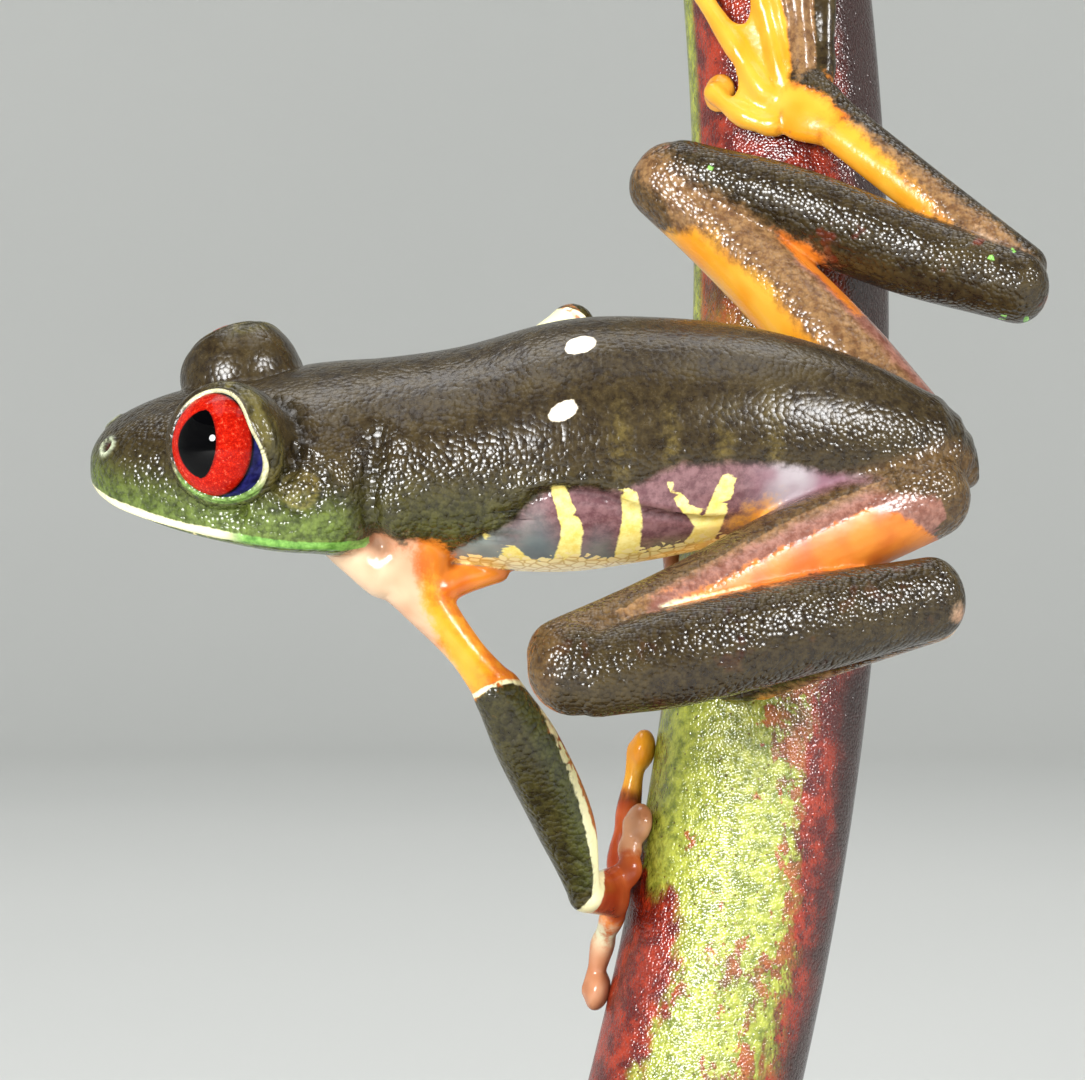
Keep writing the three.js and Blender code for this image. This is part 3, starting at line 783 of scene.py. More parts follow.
class Paint:
    def __init__(self, name):
        self.material = bpy.data.materials.new(name)
        self.material.use_nodes = True
        self.tree = self.material.node_tree
        self.tree.nodes.clear()

    # A node with its settings, and with a value or a link on each of the sockets in inputs.
    def node(self, kind, settings=None, inputs=None, out=0):
        made = self.tree.nodes.new(kind)
        for key, value in (settings or {}).items():
            setattr(made, key, value)
        for key, value in (inputs or {}).items():
            if isinstance(value, Wire):
                self.tree.links.new(value.socket, made.inputs[key])
            else:
                made.inputs[key].default_value = value
        return Wire(self, made.outputs[out]) if made.outputs else None

    def field(self, name):
        return self.node("ShaderNodeAttribute", {"attribute_name": name}, out=2)

    def place(self, scale=(1, 1, 1)):
        spot = self.node("ShaderNodeTexCoord", out=3)
        return self.node("ShaderNodeMapping", {}, {"Vector": spot, "Scale": scale})

    def noise(self, scale, detail=3.0, rough=0.55, vector=None, distortion=0.0):
        inputs = {"Scale": scale, "Detail": detail, "Roughness": rough, "Distortion": distortion}
        return self.node("ShaderNodeTexNoise", {}, {"Vector": vector or self.place(), **inputs})

    def cells(self, scale, feature="F1"):
        inputs = {"Vector": self.place(), "Scale": scale}
        return self.node("ShaderNodeTexVoronoi", {"feature": feature}, inputs)

    def mix(self, factor, a, b):
        return self.node("ShaderNodeMix", {"data_type": "RGBA"}, {0: factor, 6: a, 7: b}, 2)

    def relief(self, height, depth, strength=1.0, normal=None):
        inputs = {"Height": height, "Distance": depth, "Strength": strength}
        if normal:
            inputs["Normal"] = normal
        return self.node("ShaderNodeBump", {}, inputs)

    def surface(self, **inputs):
        named = {key.replace("_", " "): value for key, value in inputs.items()}
        shader = self.node("ShaderNodeBsdfPrincipled", {}, named)
        self.node("ShaderNodeOutputMaterial", {}, {0: shader})
        return self.material

    # Two screen colours, mixed by the part of a noise between low and high.
    def mottle(self, noise, one, two, low=0.3, high=0.7):
        return self.mix(noise.between(low, high), rgb(one), rgb(two))


def rgb(code):  # a screen colour such as "c01810", as the linear values that sockets take
    v = np.array([int(code[k:k + 2], 16) / 255 for k in (0, 2, 4)])
    return tuple(np.where(v <= 0.04045, v / 12.92, ((v + 0.055) / 1.055) ** 2.4)) + (1.0,)


def eyePaint():
    paint = Paint("wet eye")
    inside, hole = paint.field("iris"), paint.field("pupil")
    around = {0: paint.field("spokeX"), 1: paint.field("spokeY"), 2: inside * 0.12}
    rays = paint.noise(7.0, 4.0, 0.65, paint.node("ShaderNodeCombineXYZ", {}, around))
    net = paint.cells(5200.0, "DISTANCE_TO_EDGE")
    flakes = paint.noise(4200.0, 3.0, 0.7)
    grain = rays.between(0.3, 0.7) * 0.4 + flakes.between(0.35, 0.65) * 0.6
    red = paint.mix(grain, rgb("a00a04"), rgb("d8260f"))
    red = paint.mix((1.0 - net.between(0.0, 0.2)) * 0.4, red, rgb("700604"))
    red = paint.mix(flakes.between(0.58, 0.68) * 0.6, red, rgb("f06a48"))
    red = paint.mix(inside.between(1.1, 0.0) * 0.4, red, rgb("7c0a06"))
    red = paint.mix(inside.between(0.22, 0.0) * 0.8, red, rgb("300403"))
    red = paint.mix(hole.between(-0.28, -0.02) * 0.6, red, rgb("5a0a08"))
    membrane = paint.mottle(paint.noise(1500.0), "14143c", "2c2c72")
    membrane = paint.mix(inside.between(-0.3, -0.05), membrane, rgb("06060c"))
    colour = paint.mix(inside.between(-0.03, 0.03), membrane, red)
    colour = paint.mix(hole.between(-0.03, 0.03), colour, rgb("020203"))
    return paint.surface(
        Base_Color=colour, Roughness=0.32, Normal=paint.relief(flakes + rays, 0.00006, 0.5), IOR=1.4,
        Specular_IOR_Level=0.0, Coat_Weight=0.5, Coat_Roughness=0.02, Coat_IOR=1.34,
    )


# The nearest place on a limb's line: its t, the offset from it, the line's direction and half width there,
# and how near it is, 1 on the limb's surface.
def limbPlace(verts, limb, steps=32):
    t = np.linspace(0, 1, steps)
    centre, along, across, up, wide, thick = limbLine(limb, t)
    j, _ = nearestOn(verts, centre)
    d = verts - centre[j]
    ahead = np.sum(d * along[j], 1)
    step = np.linalg.norm(centre[1:] - centre[:-1], axis=1).mean()
    over = np.maximum(np.abs(ahead) - step, 0) / np.minimum(wide, thick)[j]
    x, y = np.sum(d * across[j], 1) / wide[j], np.sum(d * up[j], 1) / thick[j]
    t = np.clip(t[j] + ahead / step / steps, 0, 1)
    return {"t": t, "offset": d, "along": along[j], "near": np.sqrt(x**2 + y**2 + over**2), "half": wide[j]}


def turnFrom(at, crown, sign):  # degrees round a limb from its crown, growing towards its rear
    along = at["along"]
    c = unit(np.asarray(crown, float) - along * (along @ np.asarray(crown, float))[:, None])
    rear = sign * np.cross(c, along)
    return np.degrees(np.arctan2(np.sum(at["offset"] * rear, 1), np.sum(at["offset"] * c, 1)))


def partPlaces(verts):
    parts = {}
    for side in sides:
        for name, limb in limbs[side].items():
            parts[side, name] = limbPlace(verts, limb)
        for kind, palm, digits, size in digitSets(side):
            half = np.append(np.full(8, size["thick"]), size["pad"])
            for k, places in enumerate(digits, 1):
                path = digitLine(palm, places, size["lift"])
                parts[side, f"{kind}{k}"] = limbPlace(verts, oval(path, half, half, awayFromStem), 24)
    return parts


# Where the colours lie. Each field is roughly the distance inside its patch, in mm, so that the material
# can cut it off sharply. Crowns are the directions that the dark bands of the limbs face.
crowns = {
    "left": {
        "thigh": (-0.34, -0.51, 0.79), "shank": (0, -1, -0.15), "tarsus": (0.1, -0.8, -0.6),
        "foot": (0.4, -0.6, -0.6), "fore": (-0.62, -0.78, 0),
    },
    "right": {
        "thigh": (0.25, -0.93, 0.2), "shank": (0.05, -1, 0.1), "tarsus": (0.6, -0.35, 0.7),
        "foot": (0.9, -0.4, 0.1), "fore": (0, 0.2, 0.9),
    },
}
flank = {  # height of the panel's upper edge and of the belly's edge, along the body
    "top": [
        (-30, -4), (-24, -0.6), (-19, 0.4), (-14, 1.6), (-9, 1.9), (-7, 0.9), (-5.2, 0.1), (-2.5, 0.4),
        (0.2, -0.2), (1.2, -1.2), (2.3, -2.5), (4.0, -3.5), (5.6, -4.4), (7.0, -6.0), (8, -9),
    ],
    "belly": [
        (-30, -9), (-20, -4.6), (-14, -4.2), (-9.8, -4.4), (-7.5, -4.5), (-5.5, -4.7), (-3.8, -5.4),
        (-1.5, -5.2), (4, -5.4), (8, -5.8), (12, -5.6),
    ],
}
bars = [  # the middle line of each yellow bar as (forward, up), with its half widths above and below
    [(3.3, -3.2), (2.1, -4.6), (0.9, -6.2), 0.7, 0.85],
    [(-1.0, 0.5), (-2.0, -2.6), (-1.5, -5.6), 0.5, 0.85],
    [(-5.6, 0.3), (-5.9, -2.0), (-5.6, -5.0), 0.55, 0.85],
    [(-12.3, 0.9), (-11.6, -1.2), (-10.4, -4.4), 0.5, 1.0],
    [(-8.3, 0.6), (-9.7, -1.5), (-10.8, -3.0), 0.22, 0.6],
]
dorsalSpots = [  # forward, side, up, half length, half width and the direction of the length
    (-2.48, 2.55, 7.95, 1.14, 0.9, (0.74, 0.36, 0.57)),
    (-1.34, 6.9, 4.96, 1.14, 0.7, (0.84, 0.0, 0.54)),
]
blackSpecks = [(-0.42, 7.6, 3.97, 0.3), (-5.07, 8.76, 0.64, 0.2), (9.3, 8.9, -3.0, 0.22)]
spots = {"heel": (27.4, -4.9), "elbow": (0.5, 15.3)}  # x, z
backBands = [(-5.2, 0.05), (-8.6, 0.12), (-11.9, -0.1), (-15.2, 0.0)]  # forward, and the lean with height
cuff = {  # x and z of the elbow cap, and of the cream line over it and down to the wrist
    "elbow": (-2.2, -12.1), "radius": 2.7,
    "line": [
        (-4.7, -10.5), (-3.5, -9.75), (-1.9, -9.4), (-0.4, -10.4), (0.2, -11.7), (2.1, -16.0), (3.2, -19.7),
        (3.85, -22.6), (3.7, -24.6), (2.8, -25.5), (1.6, -25.9),
    ],
}
greenSpecks = [  # x, z on the right shank
    (11.7, 25.9), (18.4, 15.5), (30.6, 19.2), (32.2, 19.8), (33.2, 15.1), (31.6, 15.3),
]
limbHalf = 2.2  # a limb's usual half width, which turns nearness into mm


def ownField(parts, body):  # how far each part is the nearest one, in mm
    near = {**{name: part["near"] for name, part in parts.items()}, "body": body}
    first, second = np.sort(np.stack(list(near.values())), 0)[:2]
    return {name: np.where(n <= first, second - first, first - n) * limbHalf for name, n in near.items()}


def limbFields(verts, side, parts, own, lay, fields, shade):
    crown, sign = crowns[side], sides[side]
    near = side == "left"

    def put(name, part, value):
        lay(name, (side, part), value)

    def turnArc(part):  # how far round the limb from its crown, in mm
        at = parts[side, part]
        return np.radians(turnFrom(at, crown[part], sign)) * at["half"]

    def reached(part, limit, width):  # 1 on the part, fading out above it
        return rampUp(limit - parts[side, part]["near"], 0, width)

    at, arc = parts[side, "thigh"], turnArc("thigh")
    t = at["t"]
    ends = 4 * rampUp(t, 0.76, 0.95) + (5 * rampUp(-t, -0.2, 0) + 9 * rampUp(-t, -0.03, 0)) * near
    put("yellow", "thigh", -arc - (2.4 if near else 2.0) - ends)
    put("tan", "thigh", (5 - np.abs(arc)) - (2 if near else 0.8) * ends - 6 * near * (arc < 0.9))
    if near:
        gap = np.abs(at["near"] - parts[side, "shank"]["near"])
        # painted highlight: a thin cream line along the thigh's edge where it meets the shank, part way
        # along
        put("cream", "thigh", np.minimum(0.03 - gap, np.minimum(t - 0.54, 0.74 - t) * 4))
        put("purple", "thigh", np.minimum(arc - 1.3, 9 - arc) - 0.5 * ends - 4 * rampUp(t, 0.74, 0.9))
        put("orange", "thigh", arc - 2.6 - ends)
    else:  # orange towards the knee, purple towards the body
        put("purple", "thigh", np.minimum(arc - 1.2, (0.5 - t) * 9))
        put("orange", "thigh", np.minimum(arc - 1.6, (t - 0.36) * 9) - ends)
    shade("warm", 0.35 * reached("thigh", 1.3, 0.3))
    shade("redden", reached("shank", 1.3, 0.3) * (0.2 if near else 0.9))
    put("orange", "shank", np.abs(turnArc("shank")) - 6.4)
    arc = np.abs(turnArc("tarsus"))
    warm = 3.9 - 2.5 * parts[side, "tarsus"]["t"]
    put("tan", "tarsus", arc - 0.8)
    put("pink", "tarsus", np.minimum(arc - 1.6, warm - arc - 0.7) - (0 if near else 0.7))
    put("yellow", "tarsus", arc - warm)
    if near:
        heel = 0.45 - np.linalg.norm(verts[:, [0, 2]] - spots["heel"], axis=1)
        put("pink", "tarsus", heel)
        put("pink", "shank", heel)
    arc = np.abs(turnArc("foot"))
    put("orange", "foot", arc - 1.1)
    put("yellow", "foot", arc - 1.7)

    at = parts[side, "upper"]
    x = at["offset"][:, 0]
    put("orange", "upper", 3)
    put("pink", "upper", (0.6 - at["t"]) * 3.5 - x - 0.9)
    if near:  # a dark cap over the elbow, edged with a cream line that runs on down to the wrist
        flat = verts[:, [0, 2]]
        d = flat - cuff["elbow"]
        over = 3 * np.minimum(np.hypot(*d.T) - cuff["radius"], d[:, 1] + 0.8)
        put("yellow", "upper", np.minimum(over, np.minimum((at["t"] - 0.25) * 5, 1.0 - np.abs(x + 0.1))))
        away, part = flatLine(flat, cuff["line"])
        width = 0.17 + 0.24 * rampUp(part, 0.35, 0.75) - 0.1 * rampUp(part, 0.85, 1.0)
        for name in ("upper", "fore", "hand"):
            put("cream", name, width - away)
        lower = np.array(cuff["line"][3:])
        past = 3 * (verts[:, 0] - np.interp(-verts[:, 2], -lower[:, 1], lower[:, 0]))
        put("orange", "fore", over)
        put("rust", "fore", np.minimum(past, -9.8 - verts[:, 2]))
        put("rust", "hand", np.maximum(past, -25.8 - verts[:, 2]))
        shade("green", 0.25 * rampUp(own[side, "fore"], 0, 0.4) * rampUp(past, -7, -1))
    else:
        x, z = verts[:, 0] - spots["elbow"][0], verts[:, 2] - spots["elbow"][1]
        over = -0.6 - x
        for name in ("upper", "fore"):
            put("cream", name, 1.0 - np.hypot(x / 1.9, z / 0.95))
        at = parts[side, "fore"]
        angle = np.abs(turnFrom(at, crown["fore"], -sign))
        past = np.radians(angle - 104 + 16 * at["t"]) * at["half"]
        put("rust", "fore", past)
        put("rust", "hand", 3)
        put("cream", "fore", 0.3 - np.abs(past))
    onUpper = own[side, "upper"] > -0.4
    fields["orange"] = np.where(onUpper, np.minimum(fields["orange"], over), fields["orange"])
    shade("olive", 0.5 * reached("fore", 1.2, 0.2))

    for k in range(1, 6):
        shade("digit", reached(f"toe{k}", 1.4, 0.3))
        if k < 5:
            put("tan" if k == 4 else "yellow", f"toe{k}", 0.6 if k == 4 else 3)
    for k in range(1, 5):
        name = f"finger{k}"
        t, onIt = parts[side, name]["t"], own[side, name] > 0
        shade("digit", reached(name, 1.4, 0.3))
        put("orange", name, 3)
        if k == 4:  # glassy, greenish at its root
            put("glassy", name, (t - 0.2) * 6)
            shade("pale", 0.8 * bump(t - 0.35, 0.16) * onIt)
        elif k == 1:
            put("rust", name, (0.5 - t) * 4)
            put("glassy", name, (t - 0.45) * 4)
        else:
            put("rust", name, (0.62 - t) * 4)
            put("yellow", name, (t - 0.68) * 5)
            shade("joint", 0.8 * bump(t - 0.62, 0.05) * onIt)


def headFields(verts, f, u, fields, shade):
    v = aboveMouth(f, u)
    cream = np.where(f > mouth["corner"] - 3.2, np.minimum(0.76 - v, v + 0.02), -3)
    throat = np.where(f > 12.5, -0.5 - v - 0.9 * rampUp(-f, -20, -13), -3)
    fields["cream"] = np.maximum(fields["cream"], cream)
    fields["belly"] = np.maximum(fields["belly"], throat)
    for side, sign in sides.items():
        r, _, e, turn = lidPlace(verts, side)
        degrees, rise = np.degrees(turn), -np.sin(turn)
        ring = rampUp(5.4 - r, 0, 0.5) * (r > 2.5)
        low = rampUp(np.abs(degrees), 112, 138)
        front = rampUp(degrees, 35, 60) * (1 - low)
        wide = 0.02 + 0.3 * bump(degrees + 111, 16) + 0.5 * low
        rear = rampUp(rise, -0.55, 0.0) * (1 - low)
        shade("rim", ring * rampUp(-e, -wide - 0.05, -wide + 0.07) * (1 - front))
        shade("lowLid", ring * low)
        shade("band", ring * rear * rampUp(e, 0.1, 0.3) * rampUp(-e, -2.2, -1.5))
        # painted shade on the lid's inner wall, where it turns in towards the ball
        shade("dark", ring * rampUp(-e, 0.03, 0.14))
        # painted shade in the crease round the rear of the eye's bulge
        shade("dark", 0.75 * bump(r - 4.95, 0.4) * rampUp(rise, -0.1, 0.6))
        d = verts - inBody(nostril[0], sign * nostril[1], nostril[2])
        inwards = mirrored((-0.6, -0.5, -0.65), sign)
        deep = d @ inwards
        away = np.linalg.norm(d - inwards * deep[:, None], axis=1) + 3 * (np.abs(deep) > 1.2)
        # painted shade inside the nostril's opening
        shade("hole", rampUp(0.36 - away, 0, 0.12))
        shade("pale", bump(away - 0.6, 0.17))
        away = awayFrom(verts, ear["place"], sign)
        shade("gold", 0.5 * bump(away - 1.12, 0.26) + 0.2 * rampUp(1.2 - away, 0, 0.2))
        # painted shade in the groove round the eardrum
        shade("dark", 0.7 * bump(away - 1.56, 0.16))
        # painted shade along each crease
        for crease in creases.values():
            away, _, part = alongCrease(verts, crease["path"], sign)
            ends = rampUp(part, 0.0, 0.25) * rampUp(-part, -1.0, -0.8)
            shade("dark", crease["dark"] * ends * bump(away, crease["width"]))


# The patches are cut off sharply, the shades go over softly.
patches = (
    "orange", "yellow", "purple", "tan", "cream", "pink", "glassy", "bars", "panel", "belly", "spots",
    "rust", "greenSpecks",
)
shades = (
    "green", "olive", "blue", "groin", "dark", "lip", "rim", "lowLid", "band", "pale", "gold", "hole",
    "granule", "streak", "warm", "redden", "digit", "joint", "matt",
)
smooth = ("orange", "yellow", "pink", "glassy", "rust", "cream", "spots", "bars", "panel", "belly")


def skinFields(verts):
    f, _, u = toBody(verts)
    parts = partPlaces(verts)
    for side in sides:  # the folds take the colours of the upper arm
        upper = parts[side, "upper"]
        for fold in folds[side]:
            upper["near"] = np.minimum(upper["near"], limbPlace(verts, foldLimb(fold), 20)["near"])
    own = ownField(parts, bodyNear(verts))
    fields = {name: np.full(len(verts), -3.0) for name in patches}
    soft = {name: np.zeros(len(verts)) for name in shades}

    def lay(name, part, value):  # a patch that stays inside its part
        fields[name] = np.maximum(fields[name], np.minimum(own[part] + 0.35, value))

    def shade(name, value):
        soft[name] = np.maximum(soft[name], value)

    bellyLine, panelTop = (np.interp(f, *np.array(flank[k]).T) for k in ("belly", "top"))
    lay("panel", "body", np.minimum(panelTop - u, 8) * 0.8)
    lay("belly", "body", np.minimum(bellyLine - u, own["body"] * 1.5 - 0.5) * 0.9)
    for one, two, three, above, below in bars:
        line = np.array([three, two, one])
        share = np.clip((u - three[1]) / (one[1] - three[1]), 0, 1)
        inside = (below + (above - below) * share) - np.abs(f - np.interp(u, line[:, 1], line[:, 0]))
        lay("bars", "body", np.minimum(inside, np.minimum(one[1] - u + 0.1, u - three[1] + 0.8)))
    for a, b, c, long, short, along in dorsalSpots:
        d = verts - inBody(a, b, c)
        x = d @ unit(np.array(along))
        z = np.sqrt(np.maximum((d**2).sum(1) - x**2, 0))
        lay("spots", "body", (1 - np.sqrt((x / long) ** 2 + (z / short) ** 2)) * short)
    for place, lean in backBands:
        band = bump(f - place - lean * (u - 2), 0.38) * rampUp(u, 0.2, 1.6) * rampUp(-u, -6.5, -3.5)
        shade("gold", 0.4 * band * (own["body"] > 0))
    for side in sides:
        limbFields(verts, side, parts, own, lay, fields, shade)
    for x, z in greenSpecks:
        lay("greenSpecks", ("right", "shank"), 0.22 - np.hypot(verts[:, 0] - x, verts[:, 2] - z))
    headFields(verts, f, u, fields, shade)
    for a, b, c, size in blackSpecks:
        shade("dark", rampUp(size - awayFrom(verts, (a, b, c), 1), 0, 0.12))

    onBody = rampUp(own["body"], -0.3, 0.3)
    onThigh = np.maximum(own["left", "thigh"], own["right", "thigh"]) > 0
    back = onBody * rampUp(u, 1.0, 5.0)
    shade("green", onBody * rampUp(f, 11.5, 14.0) * rampUp(-u, -0.8, 2.6))
    shade("olive", onBody * rampUp(-u, -2.5, 3.0) * rampUp(f, -9, 0))
    soft["lip"] = onBody * rampUp(-f, -21.5, -19.5) * rampUp(f, 9, 10)
    soft["blue"] = onBody * np.clip(0.25 + 0.35 * np.sin(f * 1.5 + 1.2) - 0.3 * (u + 2.2) + 0.12 * f, 0, 1)
    soft["groin"] = onBody * rampUp(-f, 12.5, 16.5)
    soft["matt"] = 0.25 * back + rampUp(fields["orange"] * onThigh, 0, 0.5)
    soft["streak"] = onBody * rampUp(u, -4, 0) * rampUp(-f, -18, -13) * rampUp(f, -12, -2)
    lids = np.maximum(soft["band"], 0.4 * soft["lowLid"])
    bare = np.max([fields[name] for name in smooth], 0)
    granule = (1 + 0.6 * lids) * (1 - rampUp(bare, -0.15, 0.35)) * (1 - 0.72 * back)
    granule = granule * (1 - 0.3 * rampUp(fields["tan"], 0, 0.5))
    granule = granule * (1 - 0.6 * rampUp(fields["purple"], -0.3, 0.3))
    soft["granule"] = granule * (1 - 0.9 * soft["digit"])
    return {**fields, **soft}


def skinPaint(names):
    paint = Paint("moist granular skin")
    fields = {name: paint.field(name) for name in names}
    coarse, fine = paint.noise(260.0, 2.0), paint.noise(1500.0, 3.0, 0.7)
    streaks = paint.noise(1300.0, 2.0, 0.6, paint.place((1.0, 1.0, 0.3)))
    grains = paint.cells(2700.0)
    cobbles = paint.cells(1300.0, "DISTANCE_TO_EDGE")
    wobble = (fine.between(0.3, 0.7) - 0.5) * 0.5 + (coarse.between(0.3, 0.7) - 0.5) * 0.6

    def patch(name, wave, edge, over):  # wave is how far its outline wanders, edge how soft it is
        return paint.mix((fields[name] + wobble * wave).between(-edge, edge), colour, over)

    def glaze(name, over, strength=1.0):
        return paint.mix(fields[name] * strength, colour, over)

    colour = paint.mottle(fine, "20170c", "3c311b", 0.3, 0.72)
    colour = paint.mix(coarse.between(0.45, 0.7) * 0.4, colour, rgb("483c20"))
    colour = glaze("streak", rgb("1a140a"), streaks.between(0.55, 0.7) * 0.5)
    colour = glaze("warm", paint.mottle(fine, "5c4024", "8c6a40"))
    colour = glaze("redden", rgb("6c2014"), paint.noise(420.0, 2.0, 0.6).between(0.6, 0.7) * 0.6)
    colour = glaze("olive", paint.mottle(fine, "2a2b10", "4c4d20"), 0.75)
    colour = glaze("green", paint.mottle(fine, "3e4c1a", "6c8038"), 0.85)
    colour = glaze("gold", paint.mottle(fine, "50441e", "9c8844", 0.35, 0.65), 0.7)

    panel = paint.mottle(fine, "5e3e42", "826062")
    panel = paint.mix(fields["blue"] * 0.9, panel, paint.mottle(coarse, "5e6c70", "84908a"))
    panel = paint.mix(fields["groin"], panel, paint.mottle(coarse, "84606c", "a89ea2", 0.35, 0.65))
    colour = patch("panel", 0.4, 0.3, panel)
    colour = patch("bars", 0.2, 0.08, paint.mottle(fine, "ecd468", "f8ec9c"))
    edge = fields["belly"] + cobbles.between(0.0, 0.3) * 0.5 + wobble * 0.9
    pale = paint.mottle(cobbles, "d0ac5c", "f4e2a0", 0.02, 0.16)
    colour = paint.mix(edge.between(0.1, 0.24), colour, pale)
    colour = patch("tan", 1.0, 0.6, paint.mottle(fine, "60422a", "8e6c46"))
    colour = patch("purple", 0.8, 0.5, paint.mottle(fine, "6e4438", "966a5c"))
    colour = patch("orange", 0.8, 0.3, paint.mottle(coarse, "b6581a", "cc7826", 0.35, 0.65))
    colour = patch("yellow", 1.2, 0.75, paint.mottle(coarse, "d88a1a", "dca236"))
    colour = patch("rust", 0.4, 0.25, paint.mottle(coarse, "8c3012", "b4582c"))
    colour = patch("pink", 0.8, 0.5, paint.mottle(coarse, "bc8c6c", "ceb090"))
    colour = patch("glassy", 0.8, 0.5, paint.mottle(coarse, "a4603c", "c89470", 0.35, 0.65))
    stripe = paint.mix(fields["lip"], rgb("ece6b8"), paint.mottle(fine, "4c7a2c", "7cac50"))
    colour = patch("cream", 0.14, 0.06, stripe)
    colour = patch("spots", 0.16, 0.05, rgb("ece0c8"))
    colour = patch("greenSpecks", 0.1, 0.05, rgb("8cd060"))
    colour = glaze("band", paint.mottle(streaks, "2c2810", "5c5428", 0.35, 0.65), 0.8)
    colour = glaze("rim", paint.mix(fields["lowLid"], rgb("e6e0b2"), rgb("7ca04e")), 0.9)
    colour = glaze("pale", rgb("c4ccac"), fine.between(0.3, 0.6))
    # the dark field: painted shade in the creases, inside the lids, behind the eye bulges and round the
    # eardrums, together with the real black specks
    colour = glaze("dark", rgb("0e0a06"), 0.85)
    # painted shade: the nostril openings darkened to deep red-brown
    colour = glaze("hole", rgb("3c0c06"))
    colour = glaze("joint", rgb("3c1c12"))
    # painted shade: the grooves between the granules are darkened
    colour = glaze("granule", rgb("120c06"), grains.between(0.5, 0.75) * 0.3)

    domes = (1.0 - grains * grains) * (fields["granule"] * 0.92 + 0.08)
    domes = domes * (0.65 + coarse.between(0.3, 0.7) * 0.5)
    low = paint.relief(streaks * (0.15 + fields["streak"] * 0.8) + coarse * 0.5, 0.00008, 1.0)
    high = paint.relief(domes + fine * 0.06, 0.000098, 1.0, low)
    rough = 0.16 + fine * 0.09 + fields["matt"] * 0.24
    return paint.surface(Base_Color=colour, Roughness=rough, Normal=high, Specular_IOR_Level=0.5, IOR=1.45)


def makeFrog():
    mesh = makeSkin()
    verts = vertsOf(mesh)
    fields = skinFields(verts)
    for name, values in fields.items():
        giveField(mesh, name, values)
    placeVerts(mesh, toScene(verts))
    flesh = [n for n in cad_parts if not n.startswith(("eye_", "perch_", "stand_"))]
    return addPiece("skin", mesh, skinPaint(list(fields)), "skin_back", *flesh)


# Perch: a stem cut level at both ends, with softly rounded rims. Its fields are the sine of the turn to the
# left, the height and the part of each cut end.
def makePerch():
    capRows, rim = 14, 0.5
    low, high = stem["foot"], stem["top"]
    inset = np.concatenate([np.linspace(0.985, 0, capRows), np.zeros(260), np.linspace(0, 0.985, capRows)])
    z = np.concatenate([np.full(capRows, low), np.linspace(low, high, 260), np.full(capRows, high)])
    ends = np.minimum(z - low, high - z)
    rounding = rim - np.sqrt(np.maximum(rim**2 - np.maximum(rim - ends, 0) ** 2, 0))
    centre, radius = stemLine(z)
    a = np.linspace(0, 2 * np.pi, 160, endpoint=False)
    along, inset = z[:, None], inset[:, None]
    ribs = 0.05 * np.sin(9 * a + 0.6 * np.sin(along / 17)) + 0.06 * np.sin(3 * a + along / 23)
    r = ((radius - rounding)[:, None] + ribs) * (1 - inset)
    verts, faces = closedLoft(centre[:, None] + np.stack([-np.sin(a) * r, -np.cos(a) * r, 0 * r], -1))
    mesh = newMesh("perch", toScene(verts), faces)
    placed = {"left": (np.sin(a), [0, 0]), "height": (along, [low, high]), "cut": (inset, [1, 1])}
    for name, (values, tips) in placed.items():
        giveField(mesh, name, np.append(np.broadcast_to(values, r.shape).ravel(), tips))
    return addPiece("perch", mesh, stemPaint(), "stem_skin", "perch_stem")


def stemPaint():
    paint = Paint("glossy stem")
    left, height, cut = (paint.field(name) for name in ("left", "height", "cut"))
    blotch = paint.noise(170.0, 6.0, 0.68, paint.place((1.0, 1.0, 0.6)), 0.3).between(0.34, 0.66) - 0.5
    flecks = paint.noise(520.0, 5.0, 0.7).between(0.4, 0.64)
    fine = paint.noise(1300.0, 4.0, 0.65)
    pits = paint.cells(1500.0)
    skin = paint.cells(4600.0)
    green = paint.mottle(fine, "545e18", "969c38")
    red = paint.mix(flecks, rgb("4c0c08"), rgb("8a2810"))
    upper = height.between(2.0, 22.0)
    low = 1.0 - height.between(-34.0, -14.0)
    foot = 1.0 - height.between(-27.0, -20.0)
    rightEdge = (left + 0.42 + low * 0.26 + blotch * 0.5).between(-0.06, 0.14)
    leftEdge = 1.0 - (left - 1.04 + foot * 0.5 + blotch * 0.3).between(-0.06, 0.1)
    cover = rightEdge * leftEdge * (1.0 - upper) + (left - 0.92).between(0.0, 0.05) * upper
    stains = (blotch + flecks * 0.3 - left * 0.34).between(0.27, 0.42) * 0.8
    colour = paint.mix(cover * (1.0 - stains), red, green)
    # painted shade: the stem's right side, turned away from the key light, darkened to deep maroon, more so
    # towards the top
    shade = (0.0 - left - 0.7 + upper * 0.24 + blotch * 0.2).between(-0.1, 0.2)
    colour = paint.mix(shade, colour, rgb("240806"))
    colour = paint.mix((0.15 - pits).between(0.0, 0.06) * 0.75, colour, rgb("3a1608"))
    rings = paint.mottle(paint.cells(1100.0), "66622f", "9c9860", 0.1, 0.5)
    colour = paint.mix(cut.between(0.02, 0.06), colour, rings)
    soft = paint.relief(blotch + paint.noise(420.0), 0.0001, 1.0)
    grain = 1.0 - skin * skin + fine * 0.3 - (0.2 - pits).between(0.0, 0.12) * 0.6
    relief = paint.relief(grain, 0.00006, 1.0, soft)
    rough = 0.15 + fine * 0.12
    return paint.surface(Base_Color=colour, Roughness=rough, Normal=relief, Specular_IOR_Level=0.85)


# Stand: a turned disc and a brass rod with a small collar. Profiles are (radius, height) pairs in mm.
base = {
    "profile": [
        (0.5, 0), (34.6, 0), (35.5, 0.3), (35.95, 1.2), (35.9, 3.4), (35.3, 4.3), (34.3, 4.9), (33.9, 5.6),
        (34.1, 6.3), (34.3, 6.9), (34.0, 7.5), (33.2, 7.8), (31.5, 7.92), (20, 8.0), (0.5, 8.0),
    ],
}
rod = {"radius": 2.0, "collar": 3.6}


